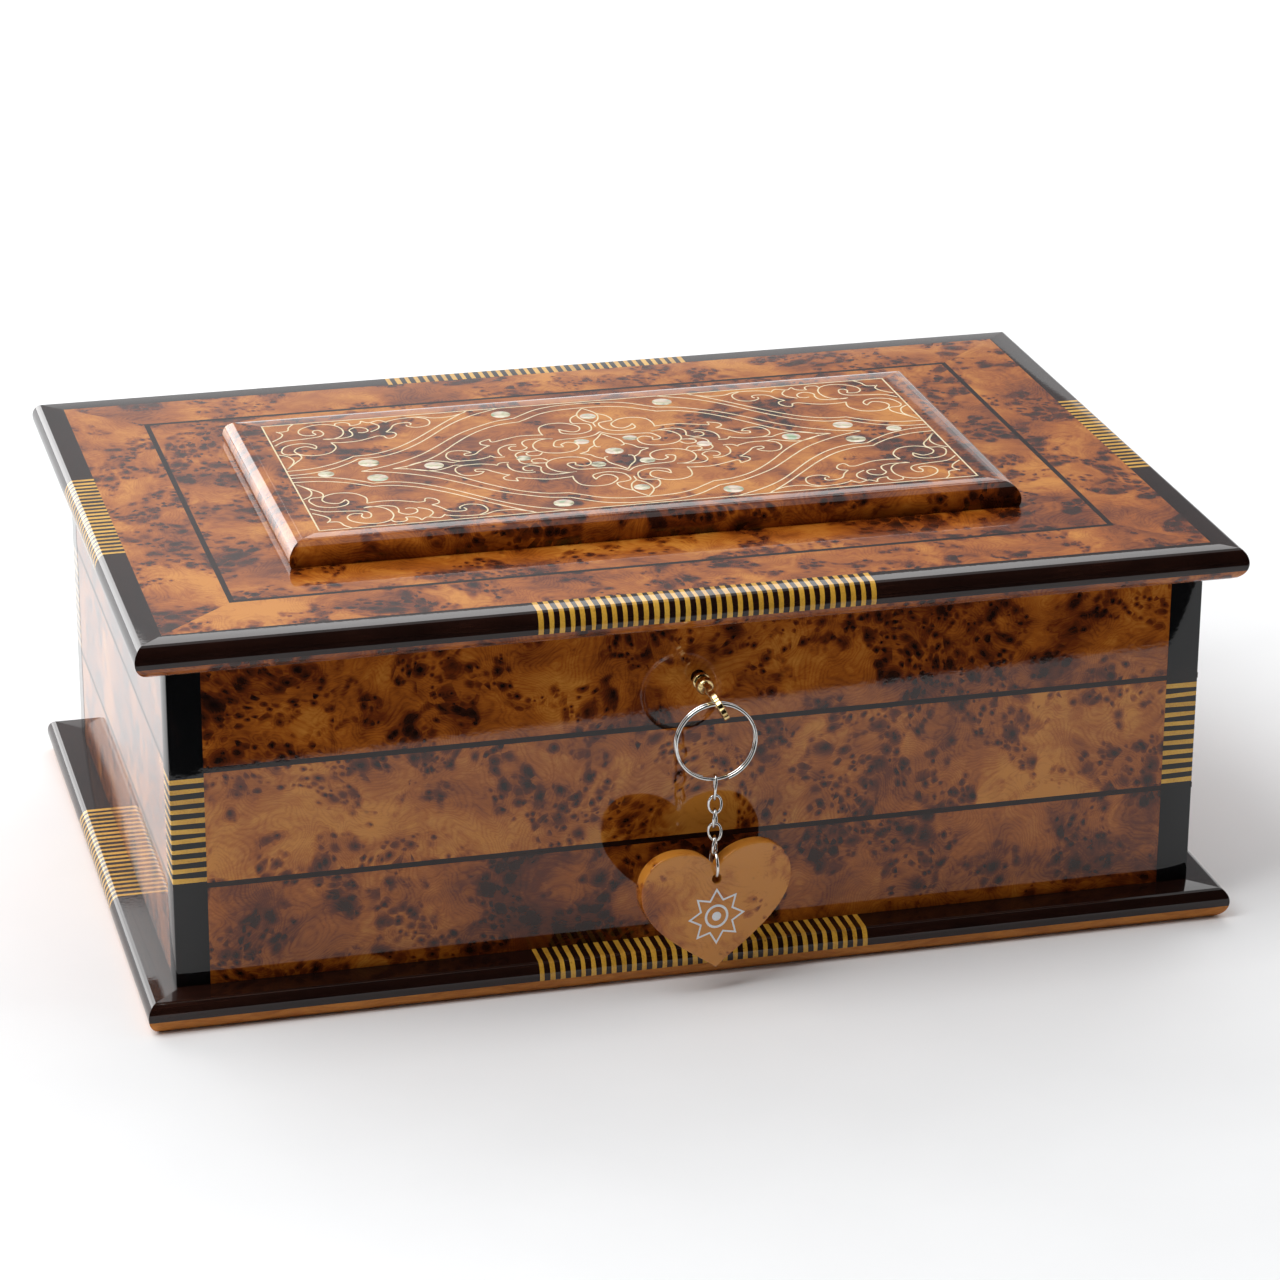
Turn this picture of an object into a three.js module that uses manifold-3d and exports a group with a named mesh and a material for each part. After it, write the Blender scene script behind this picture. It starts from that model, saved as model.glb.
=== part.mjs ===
// An inlaid wooden box: burl veneer, ebonised edges with striped runs, a raised lid panel with wire
// scrollwork and pearl discs, butt hinges, a box lock, and a key that carries a ring, a chain and a fob.
// Millimetres, +Z up. The origin is the middle of the footprint. The front faces -Y and X runs along it.

import * as THREE from 'three';
import { mergeVertices } from 'three/addons/utils/BufferGeometryUtils.js';
import Module from 'manifold-3d';

const wasm = await Module();
wasm.setup();

// ---- Driving dimensions ------------------------------------------------------------------------

const BOX_W = 300;                 // over the lid and over the plinth, along X
const BOX_D = 200;                 // the same along Y, without the key and fob
const BODY_W = 282;
const BODY_D = 180;
const LID_TOP = 108.5;             // flat top of the lid, under the raised panel
const LID_UNDERSIDE = 99.4;
const EDGING_THICK = 6.0;          // black edging of the lid, above the burl underlayer
const PLINTH_TOP = 8.5;
const PLINTH_WOOD = 3.7;           // plain wood layer under the plinth's black edging
const NOSE = 2.0;                  // how far a rounded edge stands outside its flat top
const BAND = 6.2;                  // black band seen from above on the lid
const PLINTH_BAND = 12;            // width of the plinth's black ring, partly under the walls
const WEB = 2.5;                   // black wood that runs on, out of sight, behind a striped block
const WALL = 9;                    // wall thickness with its veneer, and the width of a corner post
const VENEER = 0.8;
const STRING = 1.5;                // width of the black lines in the veneer
const STRING_DEPTH = 0.5;
const STRING_HEIGHTS = [36.9, 69.4];
const STRIPE_PITCH = 2.8;          // one yellow and one black stripe
const LONG_RUN = 32.5 * STRIPE_PITCH;   // striped run on the front and back: 33 yellow, 32 black
const SIDE_RUN = 21.5 * STRIPE_PITCH;   // on the two sides: 22 yellow, 21 black
const POST_RUN = 10.5 * STRIPE_PITCH;   // on a corner post: 11 yellow, 10 black
const POST_RUN_Z = 52.8;           // middle height of the posts' striped runs
const LID_STRING_X = 120.5;        // half sizes of the black rectangle in the lid veneer
const LID_STRING_Y = 72.5;
const PANEL_X = 101.7;             // half sizes and height of the raised panel
const PANEL_Y = 52.9;
const PANEL_TOP = 115.3;
const PANEL_NOSE = 4.2;
const INLAY_X = 91.9;              // half sizes of the wire frame on the panel
const INLAY_Y = 43.8;
const WIRE_WIDTH = 0.45;
const SHEET = 0.6;                 // the marquetry sheet on top of the raised panel, with its wire
const WIRE_PROUD = 0.15;           // wire and discs stand this far above the sheet's burl

const HINGE_X = 82;                // middle of each hinge
const HINGE_LENGTH = 38;
const HINGE_AXIS_Y = 92.2;
const HINGE_AXIS_Z = LID_UNDERSIDE;
const KNUCKLE_R = 1.9;
const PIN_R = 0.8;
const LEAF = 0.8;                  // thickness of a hinge leaf
const LEAF_SET = 0.1;              // each leaf lies this far inside the joint between lid and body
const GAP = 0.3;                   // clearance round pieces let into wood

const KEY_Z = 82.6;                // height of the keyhole
const KEYHOLE_R = 2.1;
const KEY_TILT = THREE.MathUtils.degToRad(-28);   // lean of the bow as the key sits in the lock
const BOW_Y = -107.5;              // the bow's middle, and the plane in which ring and fob hang
const BOW_LENGTH = 17;
const BOW_WIDTH = 10;
const BOW_THICK = 1.5;
const BOW_EYE_R = 2.5;
const RING_WIRE = 1.0;
const RING_R = 10.7;
const RING_PITCH = 1.12;
const RING_TOP_DROP = 0.5;         // the ring rests in the bow's eye, this far below the key's axis
const LINK_WIRE = 0.8;
const LINK_COUNT = 5;
const LINK_LENGTH = 4.8;           // between the wire centres at a link's two ends
const FIRST_LINK_LENGTH = 6.6;
const LINK_WIDTH = 3.3;
const END_RING_WIRE = 0.9;
const END_RING_R = 3.6;
const TOUCH = 0.05;                // slack between one link and the next
const FOB_W = 43;
const FOB_H = 34.5;
const FOB_THICK = 4;
const FOB_HOLE_R = 1.3;
const FOB_HOLE_DROP = FOB_H * 0.25;   // from the top of the lobes down to the hole
const FOB_TURN = THREE.MathUtils.degToRad(8);

const BODY_X = BODY_W / 2;
const BODY_Y = BODY_D / 2;
const INNER_X = BODY_X - WALL;
const INNER_Y = BODY_Y - WALL;
const FLAT_X = BOX_W / 2 - NOSE;
const FLAT_Y = BOX_D / 2 - NOSE;
const LID_WOOD_TOP = LID_TOP - EDGING_THICK;
const FIELD_X = FLAT_X - BAND;
const FIELD_Y = FLAT_Y - BAND;
const RING_CENTRE_Z = KEY_Z - RING_TOP_DROP - RING_R;

// ---- Materials ---------------------------------------------------------------------------------

const finish = (color, roughness, metalness = 0) =>
  new THREE.MeshStandardMaterial({ color, roughness, metalness });
const BURL = finish('#9a5a26', 0.25);
const PANEL_BURL = finish('#a5642b', 0.25);
const EBONY = finish('#17120f', 0.3);
const STRIPED = finish('#8c6a24', 0.3);
const PLAIN_WOOD = finish('#a8683a', 0.45);
const CORE_WOOD = finish('#8f6a45', 0.6);
const BRASS = finish('#c9a04e', 0.3, 1);
const NICKEL = finish('#c9c9c6', 0.2, 1);
const PALE_WIRE = finish('#d9c08a', 0.35);

// ---- Small tools -------------------------------------------------------------------------------

const box = new THREE.Group();

function add(name, geometry, material) {
  const mesh = new THREE.Mesh(geometry, material);
  mesh.name = name;
  box.add(mesh);
}

// A block between two corners, with each corner exactly where its neighbour's is.
function slab(x0, x1, y0, y1, z0, z1) {
  const geometry = new THREE.BoxGeometry(1, 1, 1);
  reshape(geometry, (p) => p.set(p.x < 0 ? x0 : x1, p.y < 0 ? y0 : y1, p.z < 0 ? z0 : z1));
  return geometry;
}

function reshape(geometry, change) {
  const position = geometry.attributes.position;
  const point = new THREE.Vector3();
  for (let i = 0; i < position.count; i += 1) {
    change(point.fromBufferAttribute(position, i));
    position.setXYZ(i, point.x, point.y, point.z);
  }
  geometry.computeVertexNormals();
  return geometry;
}

function toSolid(geometry) {
  const bare = geometry.clone();
  for (const name of Object.keys(bare.attributes)) {
    if (name !== 'position') bare.deleteAttribute(name);
  }
  const merged = mergeVertices(bare, 1e-4);
  return new wasm.Manifold(new wasm.Mesh({
    numProp: 3,
    vertProperties: merged.attributes.position.array,
    triVerts: new Uint32Array(merged.index.array),
  }));
}

function toGeometry(solid) {
  const mesh = solid.getMesh();
  const geometry = new THREE.BufferGeometry();
  geometry.setAttribute('position', new THREE.BufferAttribute(new Float32Array(mesh.vertProperties), 3));
  geometry.setIndex(new THREE.BufferAttribute(new Uint32Array(mesh.triVerts), 1));
  return geometry;
}

function join(geometries) {
  return toGeometry(geometries.map(toSolid).reduce((all, next) => all.add(next)));
}

function cut(geometry, tools) {
  return toGeometry(tools.map(toSolid).reduce((rest, tool) => rest.subtract(tool), toSolid(geometry)));
}

function rectangle(halfX, halfY, Kind = THREE.Shape) {
  const corners = [[-halfX, -halfY], [halfX, -halfY], [halfX, halfY], [-halfX, halfY]];
  return new Kind(corners.map(([x, y]) => new THREE.Vector2(x, y)));
}

// A flat frame between two rectangles, from z0 to z1.
function flatFrame(outerX, outerY, innerX, innerY, z0, z1) {
  const shape = rectangle(outerX, outerY);
  shape.holes.push(rectangle(innerX, innerY, THREE.Path));
  const geometry = new THREE.ExtrudeGeometry(shape, { depth: 1, bevelEnabled: false });
  return reshape(geometry, (p) => p.setZ(p.z < 0.5 ? z0 : z1));
}

function rod(radius, y0, y1, x, z, sides = 16) {
  const geometry = new THREE.CylinderGeometry(radius, radius, y1 - y0, sides);
  return geometry.translate(x, (y0 + y1) / 2, z);
}

function rodAlongX(radius, x0, x1, y, z, sides = 16) {
  const geometry = new THREE.CylinderGeometry(radius, radius, x1 - x0, sides);
  return geometry.rotateZ(-Math.PI / 2).translate((x0 + x1) / 2, y, z);
}

// ---- Rounded edges -----------------------------------------------------------------------------

// How far a rounded edge stands outside its flat top at height z: one arc rises from the widest
// height to the top, another falls to the underside.
function noseAt(nose, z) {
  const upper = z >= nose.widest;
  const rise = upper ? nose.top - nose.widest : nose.widest - nose.bottom;
  const run = upper ? nose.out : nose.out - nose.under;
  const radius = (rise * rise + run * run) / (2 * run);
  const drop = z - nose.widest;
  return nose.out - (radius - Math.sqrt(radius * radius - drop * drop));
}

function noseProfile(nose, z0, z1, steps) {
  const heights = Array.from({ length: steps + 1 }, (_, i) => z0 + ((z1 - z0) * i) / steps);
  return heights.map((z) => [noseAt(nose, z), z]);
}

const LID_NOSE = { top: LID_TOP, widest: 104.6, bottom: LID_UNDERSIDE, out: NOSE, under: -1.5 };
const PLINTH_NOSE = { top: PLINTH_TOP, widest: 4.9, bottom: 0, out: NOSE, under: -0.6 };
const RAISED_NOSE = { top: PANEL_TOP, widest: 110.6, bottom: LID_TOP, out: PANEL_NOSE, under: 3.8 };

// A rectangular slab whose four sides follow a profile of [outward, z] points, lowest first.
function mouldedSlab(flatX, flatY, profile) {
  const reach = 50;
  const points = profile.map(([out, z]) => new THREE.Vector2(reach + out, z));
  points.unshift(new THREE.Vector2(0, profile[0][1]));
  points.push(new THREE.Vector2(0, profile[profile.length - 1][1]));
  const geometry = new THREE.LatheGeometry(points, 4, Math.PI / 4);
  return reshape(geometry, (p) => {
    const radius = Math.hypot(p.x, p.z);
    const out = radius - reach;
    const x = radius < 1 ? 0 : Math.sign(p.x) * (flatX + out);
    const y = radius < 1 ? 0 : -Math.sign(p.z) * (flatY + out);
    p.set(x, y, p.y);
  });
}

// One length of a black edging. It runs along a side from one place to another, and an end at the
// side's corner is mitred. The profile's points are [outward, z], and turns counts quarter turns.
function edgingLength(profile, flat, from, to, turns) {
  const shape = new THREE.Shape(profile.map(([out, z]) => new THREE.Vector2(out, z)));
  const geometry = new THREE.ExtrudeGeometry(shape, { depth: 1, bevelEnabled: false });
  reshape(geometry, (p) => {
    const place = p.z < 0.5 ? from : to;
    const mitre = Math.abs(place) === flat.along ? Math.sign(place) * p.x : 0;
    const along = place + mitre;
    const across = flat.across + p.x;
    const turned = [[-along, -across], [across, -along], [along, across], [-across, along]][turns];
    p.set(turned[0], turned[1], p.y);
  });
  return geometry;
}

const SIDES = [
  { name: 'front', turns: 0, along: FLAT_X, across: FLAT_Y, run: LONG_RUN },
  { name: 'right', turns: 1, along: FLAT_Y, across: FLAT_X, run: SIDE_RUN },
  { name: 'back', turns: 2, along: FLAT_X, across: FLAT_Y, run: LONG_RUN },
  { name: 'left', turns: 3, along: FLAT_Y, across: FLAT_X, run: SIDE_RUN },
];

// The black edging of the lid or the plinth, with a striped block let in at the middle of each side.
// A small web of the black edging runs on behind the block, low down at its inner edge.
function addEdging(prefix, nose, z0, z1, band) {
  const curve = noseProfile(nose, z0, z1, 6);
  const inner = -band;
  const black = [[inner, z0], ...curve, [inner, z1]];
  const web = [[inner, z0], [inner + WEB, z0], [inner + WEB, z0 + WEB], [inner, z0 + WEB]];
  const striped = [[inner + WEB, z0], ...curve, [inner, z1], [inner, z0 + WEB], [inner + WEB, z0 + WEB]];
  for (const side of SIDES) {
    const half = side.run / 2;
    const lengths = [
      edgingLength(black, side, -side.along, -half, side.turns),
      edgingLength(web, side, -half, half, side.turns),
      edgingLength(black, side, half, side.along, side.turns),
    ];
    add(`${prefix}_edging_${side.name}`, join(lengths), EBONY);
    add(`${prefix}_stripes_${side.name}`, edgingLength(striped, side, -half, half, side.turns), STRIPED);
  }
}

// ---- Plinth ------------------------------------------------------------------------------------

function addPlinth() {
  const wood = noseProfile(PLINTH_NOSE, 0, PLINTH_WOOD, 4);
  add('plinth_board', mouldedSlab(FLAT_X, FLAT_Y, wood), PLAIN_WOOD);
  addEdging('plinth', PLINTH_NOSE, PLINTH_WOOD, PLINTH_TOP, PLINTH_BAND);
  const x = FLAT_X - PLINTH_BAND;
  const y = FLAT_Y - PLINTH_BAND;
  add('floor_board', slab(-x, x, -y, y, PLINTH_WOOD, PLINTH_TOP), CORE_WOOD);
}

// ---- Corner posts ------------------------------------------------------------------------------

function addPosts() {
  const runLow = POST_RUN_Z - POST_RUN / 2;
  const runHigh = POST_RUN_Z + POST_RUN / 2;
  for (const [sideY, frontOrBack] of [[-1, 'front'], [1, 'back']]) {
    for (const [sideX, leftOrRight] of [[-1, 'left'], [1, 'right']]) {
      const corner = `${frontOrBack}_${leftOrRight}`;
      const block = (z0, z1, size) => slab(...span(sideX, INNER_X, INNER_X + size),
        ...span(sideY, INNER_Y, INNER_Y + size), z0, z1);
      const web = block(runLow, runHigh, WEB);
      const post = join([block(PLINTH_TOP, runLow, WALL), web, block(runHigh, LID_UNDERSIDE, WALL)]);
      add(`corner_post_${corner}`, cut(post, STRING_HEIGHTS.map(stringGroove)), EBONY);
      add(`post_stripes_${corner}`, cut(block(runLow, runHigh, WALL), [web]), STRIPED);
    }
  }
}

// The stretch from a to b on one side of the middle, lowest first.
function span(side, a, b) {
  return side < 0 ? [-b, -a] : [a, b];
}

// ---- Walls and their veneer --------------------------------------------------------------------

const LOCK = { x: 16, back: -INNER_Y, front: -INNER_Y - 6, bottom: 74, top: LID_UNDERSIDE };

function hingeNotches(y0, y1) {
  return [-HINGE_X, HINGE_X].map((x) => {
    const half = HINGE_LENGTH / 2 + GAP;
    return slab(x - half, x + half, y0, y1, LID_UNDERSIDE - LEAF - LEAF_SET - GAP, LID_UNDERSIDE + 1);
  });
}

function addWalls() {
  const z = [PLINTH_TOP, LID_UNDERSIDE];
  const skinX = BODY_X - VENEER;
  const skinY = BODY_Y - VENEER;
  const mortise = slab(-LOCK.x - GAP, LOCK.x + GAP, LOCK.front - GAP, LOCK.back + 1,
    LOCK.bottom - GAP, LOCK.top + 1);
  const keyway = rod(KEYHOLE_R, -skinY - 1, -INNER_Y, 0, KEY_Z);
  add('wall_front', cut(slab(-INNER_X, INNER_X, -skinY, -INNER_Y, ...z), [mortise, keyway]), CORE_WOOD);
  const backWall = slab(-INNER_X, INNER_X, INNER_Y, skinY, ...z);
  add('wall_back', cut(backWall, hingeNotches(INNER_Y - 1, BODY_Y + 1)), CORE_WOOD);
  add('wall_left', slab(-skinX, -INNER_X, -INNER_Y, INNER_Y, ...z), CORE_WOOD);
  add('wall_right', slab(INNER_X, skinX, -INNER_Y, INNER_Y, ...z), CORE_WOOD);

  const keyhole = rod(KEYHOLE_R, -BODY_Y - 1, -skinY + 1, 0, KEY_Z);
  const grooves = STRING_HEIGHTS.map(stringGroove);
  const front = slab(-INNER_X, INNER_X, -BODY_Y, -skinY, ...z);
  add('veneer_front', cut(front, [keyhole, ...grooves]), BURL);
  const back = slab(-INNER_X, INNER_X, skinY, BODY_Y, ...z);
  add('veneer_back', cut(back, [...hingeNotches(skinY - 1, BODY_Y + 1), ...grooves]), BURL);
  add('veneer_left', cut(slab(-BODY_X, -skinX, -INNER_Y, INNER_Y, ...z), grooves), BURL);
  add('veneer_right', cut(slab(skinX, BODY_X, -INNER_Y, INNER_Y, ...z), grooves), BURL);
  add('string_lower', stringRing(STRING_HEIGHTS[0], 0), EBONY);
  add('string_upper', stringRing(STRING_HEIGHTS[1], 0), EBONY);
}

// A black line let in all round the body at one height, standing out from it by proud.
function stringRing(height, proud) {
  return flatFrame(BODY_X + proud, BODY_Y + proud, BODY_X - STRING_DEPTH, BODY_Y - STRING_DEPTH,
    height - STRING / 2, height + STRING / 2);
}

function stringGroove(height) {
  return stringRing(height, 1);
}

// ---- Lid ---------------------------------------------------------------------------------------

function addLid() {
  const skin = LID_TOP - VENEER;
  const board = join([
    mouldedSlab(FLAT_X, FLAT_Y, noseProfile(LID_NOSE, LID_UNDERSIDE, LID_WOOD_TOP, 5)),
    slab(-FIELD_X, FIELD_X, -FIELD_Y, FIELD_Y, LID_WOOD_TOP, skin),
  ]);
  const pockets = [-HINGE_X, HINGE_X].flatMap((x) => {
    const half = HINGE_LENGTH / 2 + GAP;
    const below = LID_UNDERSIDE - 1;
    const leafTop = LID_UNDERSIDE + LEAF_SET + LEAF + GAP;
    return [
      slab(x - half, x + half, INNER_Y, HINGE_AXIS_Y, below, leafTop),
      slab(x - half, x + half, BODY_Y, HINGE_AXIS_Y + KNUCKLE_R + GAP, below,
        HINGE_AXIS_Z + KNUCKLE_R + GAP),
    ];
  });
  const strike = slab(-STRIKE.x - GAP, STRIKE.x + GAP, STRIKE.y0 - GAP, STRIKE.y1 + GAP,
    LID_UNDERSIDE - 1, LID_UNDERSIDE + STRIKE.thick + GAP);
  add('lid_board', cut(board, [...pockets, strike]), BURL);
  addEdging('lid', LID_NOSE, LID_WOOD_TOP, LID_TOP, BAND);

  const half = STRING / 2;
  add('lid_border_veneer', flatFrame(FIELD_X, FIELD_Y, LID_STRING_X + half, LID_STRING_Y + half,
    skin, LID_TOP), BURL);
  add('lid_string', flatFrame(LID_STRING_X + half, LID_STRING_Y + half, LID_STRING_X - half,
    LID_STRING_Y - half, skin, LID_TOP), EBONY);
  const fieldX = LID_STRING_X - half;
  const fieldY = LID_STRING_Y - half;
  add('lid_field_veneer', slab(-fieldX, fieldX, -fieldY, fieldY, skin, LID_TOP), BURL);
  const raised = noseProfile(RAISED_NOSE, LID_TOP, PANEL_TOP - SHEET, 8);
  add('raised_panel', mouldedSlab(PANEL_X - PANEL_NOSE, PANEL_Y - PANEL_NOSE, raised), PANEL_BURL);
}

// ---- Marquetry on the raised panel -------------------------------------------------------------

// The pattern is the same in all four quarters. These are the main lines of one quarter, from the
// panel's middle. A line runs smoothly through its points, and a new line starts at a cusp.
const BAND_LINES = [
  [[91.9, 4.7], [84.8, 5.3], [78.5, 7.7], [74.1, 10.6], [71.5, 12.8]],
  [[71.5, 12.8], [65.8, 13.3], [59.5, 16.3], [53.2, 21.6], [46.8, 28.6], [41.8, 34.3], [37.3, 39.1],
    [32.5, 43.8]],
  [[91.9, 1.2], [86.1, 1.5], [79.8, 3.6], [74.7, 6.8], [70.6, 10.3]],
  [[70.6, 10.3], [64.6, 10.6], [58.2, 13.7], [51.9, 19.1], [46.8, 24.8], [41.8, 30.8], [36.7, 35.9],
    [31.0, 40.0], [23.5, 43.8]],
];
const MEDALLION_LINES = [
  [[71.8, 0], [65.8, 2.0], [59.5, 5.2], [53.2, 9.6], [48.1, 14.7], [43.0, 20.4], [38.0, 25.4],
    [31.6, 29.9], [26.6, 32.7], [20.9, 34.2]],
  [[20.9, 34.2], [17.7, 36.8], [13.3, 40.0], [7.6, 41.9], [0, 42.5]],
  [[63.0, 0], [58.2, 1.4], [51.9, 5.2], [46.8, 10.3], [41.8, 16.6], [36.7, 22.3], [31.6, 26.7],
    [26.0, 29.6], [20.3, 30.6]],
  [[20.3, 30.6], [17.1, 33.0], [12.7, 36.2], [7.0, 38.1], [0, 38.6]],
];

// Pearl discs of one quarter: [x, y, diameter]. A disc on an axis is shared by two quarters.
const QUARTER_DISCS = [
  [0, 0, 5.3], [26.0, 0, 4.3], [51.4, 0, 5.4], [81.7, 0, 4.5], [0, 30.8, 4.6],
  [7.0, 9.8, 4.3], [68.5, 6.3, 5.8], [23.8, 38.2, 5.8],
];

const QUARTERS = [[1, 1], [-1, 1], [-1, -1], [1, -1]];

// A flat wire along a smooth line: a block bent along it, with one step for each point.
function flatWire(points, z0, z1) {
  const curve = new THREE.CatmullRomCurve3(points.map(([x, y]) => new THREE.Vector3(x, y, 0)));
  const geometry = new THREE.BoxGeometry(1, 1, 1, points.length - 1, 1, 1);
  return reshape(geometry, (p) => {
    const t = THREE.MathUtils.clamp(p.x + 0.5, 0, 1);
    const place = curve.getPoint(t);
    const along = curve.getTangent(t);
    const side = (Math.sign(p.y) * WIRE_WIDTH) / 2;
    p.set(place.x - along.y * side, place.y + along.x * side, p.z < 0 ? z0 : z1);
  });
}

// The sheet glued on top of the raised panel, with the wire and the pearl discs set into it.
function addMarquetry() {
  const bottom = PANEL_TOP - SHEET;
  const burl = PANEL_TOP - WIRE_PROUD;
  const topNose = noseProfile(RAISED_NOSE, bottom, burl, 2);
  const sheet = mouldedSlab(PANEL_X - PANEL_NOSE, PANEL_Y - PANEL_NOSE, topNose);
  const half = WIRE_WIDTH / 2;
  const frame = flatFrame(INLAY_X + half, INLAY_Y + half, INLAY_X - half, INLAY_Y - half,
    bottom + WIRE_PROUD, PANEL_TOP);
  const wires = QUARTERS.flatMap(([sx, sy]) => [...BAND_LINES, ...MEDALLION_LINES].map((line) =>
    flatWire(line.map(([x, y]) => [x * sx, y * sy]), bottom + WIRE_PROUD, PANEL_TOP)));
  const discs = QUARTER_DISCS.flatMap(([x, y, diameter]) => {
    const mirrored = QUARTERS.filter(([sx, sy]) => (x || sx > 0) && (y || sy > 0));
    return mirrored.map(([sx, sy]) => {
      const disc = new THREE.CylinderGeometry(diameter / 2, diameter / 2, SHEET - WIRE_PROUD, 14);
      return disc.rotateX(Math.PI / 2).translate(x * sx, y * sy, PANEL_TOP - (SHEET - WIRE_PROUD) / 2);
    });
  });
  add('marquetry_sheet', join([sheet, frame, ...wires, ...discs]), PALE_WIRE);
}

// ---- Hinges ------------------------------------------------------------------------------------

const LEAF_FRONT_Y = INNER_Y + 0.5;
const SCREW_PLACES = [-12, 12];     // from the middle of a hinge
const SCREW_HOLE_R = 1.5;
const NECK_END_Y = HINGE_AXIS_Y - 1.3;   // where the neck between leaf and knuckle ends in the knuckle
const PIN_SLACK = 0.15;

// One leaf with its knuckles. The body's leaf lies in the back wall's top edge and has the two outer
// knuckles, and the lid's leaf lies in the lid's underside and has the middle one.
function hingeLeaf(centre, onLid) {
  const z0 = onLid ? LID_UNDERSIDE + LEAF_SET : LID_UNDERSIDE - LEAF_SET - LEAF;
  const half = HINGE_LENGTH / 2;
  const third = HINGE_LENGTH / 6;
  const knuckles = onLid
    ? [[-third + GAP, third - GAP]]
    : [[-half, -third], [third, half]];
  const plate = slab(centre - half, centre + half, LEAF_FRONT_Y, BODY_Y - GAP, z0, z0 + LEAF);
  const parts = [plate];
  for (const [x0, x1] of knuckles) {
    parts.push(slab(centre + x0, centre + x1, BODY_Y - 2 * GAP, NECK_END_Y, z0, z0 + LEAF));
    parts.push(rodAlongX(KNUCKLE_R, centre + x0, centre + x1, HINGE_AXIS_Y, HINGE_AXIS_Z));
  }
  const bore = rodAlongX(PIN_R + PIN_SLACK, centre - half - 1, centre + half + 1, HINGE_AXIS_Y, HINGE_AXIS_Z);
  const holes = SCREW_PLACES.map((x) => screwHole(centre + x, z0));
  return cut(join(parts), [bore, ...holes]);
}

function screwHole(x, z0) {
  const hole = new THREE.CylinderGeometry(SCREW_HOLE_R, SCREW_HOLE_R, LEAF + 2, 12);
  return hole.rotateX(Math.PI / 2).translate(x, (LEAF_FRONT_Y + BODY_Y - GAP) / 2, z0 + LEAF / 2);
}

function addHinges() {
  for (const [centre, name] of [[-HINGE_X, 'left'], [HINGE_X, 'right']]) {
    add(`hinge_leaf_body_${name}`, hingeLeaf(centre, false), BRASS);
    add(`hinge_leaf_lid_${name}`, hingeLeaf(centre, true), BRASS);
    const half = HINGE_LENGTH / 2;
    const pin = rodAlongX(PIN_R, centre - half, centre + half, HINGE_AXIS_Y, HINGE_AXIS_Z);
    add(`hinge_pin_${name}`, pin, BRASS);
  }
}

// ---- Lock --------------------------------------------------------------------------------------

const PLATE = 0.8;                 // wall thickness of the lock case
const BOLT = { y0: -84.6, y1: -83.4, z0: 90.5, z1: 94.5, x0: 2, x1: 14 };
const STRIKE = { x: 9, y0: -87, y1: -81, thick: 1.0 };
const TONGUE = { x: 1, y0: -85.5, y1: -82.5, z0: 88.5 };
const SLOT = { x: 2.2, depth: 4 }; // the opening in the lock case that the tongue drops into

function addLock() {
  const outer = slab(-LOCK.x, LOCK.x, LOCK.front, LOCK.back, LOCK.bottom, LOCK.top - GAP);
  const inner = slab(-LOCK.x + PLATE, LOCK.x - PLATE, LOCK.front + PLATE, LOCK.back - PLATE,
    LOCK.bottom + PLATE, LOCK.top - GAP - PLATE);
  const slot = slab(-SLOT.x, SLOT.x, LOCK.front + PLATE, LOCK.back - PLATE,
    LOCK.top - SLOT.depth, LOCK.top + 1);
  const keyway = rod(KEYHOLE_R, LOCK.front - 1, LOCK.front + PLATE + 1, 0, KEY_Z);
  add('lock_case', cut(outer, [inner, slot, keyway]), BRASS);
  const bolt = slab(BOLT.x0, BOLT.x1, BOLT.y0, BOLT.y1, BOLT.z0, BOLT.z1);
  add('lock_bolt', bolt, BRASS);

  const plate = slab(-STRIKE.x, STRIKE.x, STRIKE.y0, STRIKE.y1, LID_UNDERSIDE, LID_UNDERSIDE + STRIKE.thick);
  const tongue = slab(-TONGUE.x, TONGUE.x, TONGUE.y0, TONGUE.y1, TONGUE.z0, LID_UNDERSIDE + STRIKE.thick / 2);
  const eye = slab(-TONGUE.x - 1, TONGUE.x + 1, BOLT.y0 - GAP, BOLT.y1 + GAP, BOLT.z0 - GAP, BOLT.z1 + GAP);
  add('strike_plate', cut(join([plate, tongue]), [eye]), BRASS);
}

// ---- Key ---------------------------------------------------------------------------------------

// The shank, its collar and its ball, turned about Y. Points are [radius, y] from the inner end.
const SHANK_PROFILE = [
  [0, -82.6], [1.4, -82.6], [1.4, -92.0], [2.4, -92.4], [2.4, -93.4], [1.5, -93.8], [2.2, -94.8],
  [2.5, -96.2], [2.2, -97.6], [1.2, -98.6], [0.9, -100.4], [0, -100.4],
];
const BIT = { x: 0.7, y0: -85.6, y1: -83, z0: -5, z1: -1 };   // from the key's own axis
const BOW_DRILL = { place: 0.32, radius: 0.9 };   // small holes, placed as a share of the bow's length

function bowGeometry() {
  const outline = new THREE.Shape();
  outline.absellipse(0, 0, BOW_LENGTH / 2, BOW_WIDTH / 2, 0, Math.PI * 2);
  const eye = new THREE.Path();
  eye.absarc(0, 0, BOW_EYE_R, 0, Math.PI * 2);
  outline.holes.push(eye);
  for (const end of [-1, 1]) {
    const drilled = new THREE.Path();
    drilled.absarc(end * BOW_LENGTH * BOW_DRILL.place, 0, BOW_DRILL.radius, 0, Math.PI * 2);
    outline.holes.push(drilled);
  }
  const geometry = new THREE.ExtrudeGeometry(outline,
    { depth: BOW_THICK, bevelEnabled: false, curveSegments: 7 });
  // From the drawing plane to the key's: the bow's length along Y, its width up, its thickness along X.
  geometry.translate(0, 0, -BOW_THICK / 2).rotateX(Math.PI / 2).rotateZ(Math.PI / 2);
  return geometry.translate(0, BOW_Y, 0);
}

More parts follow.
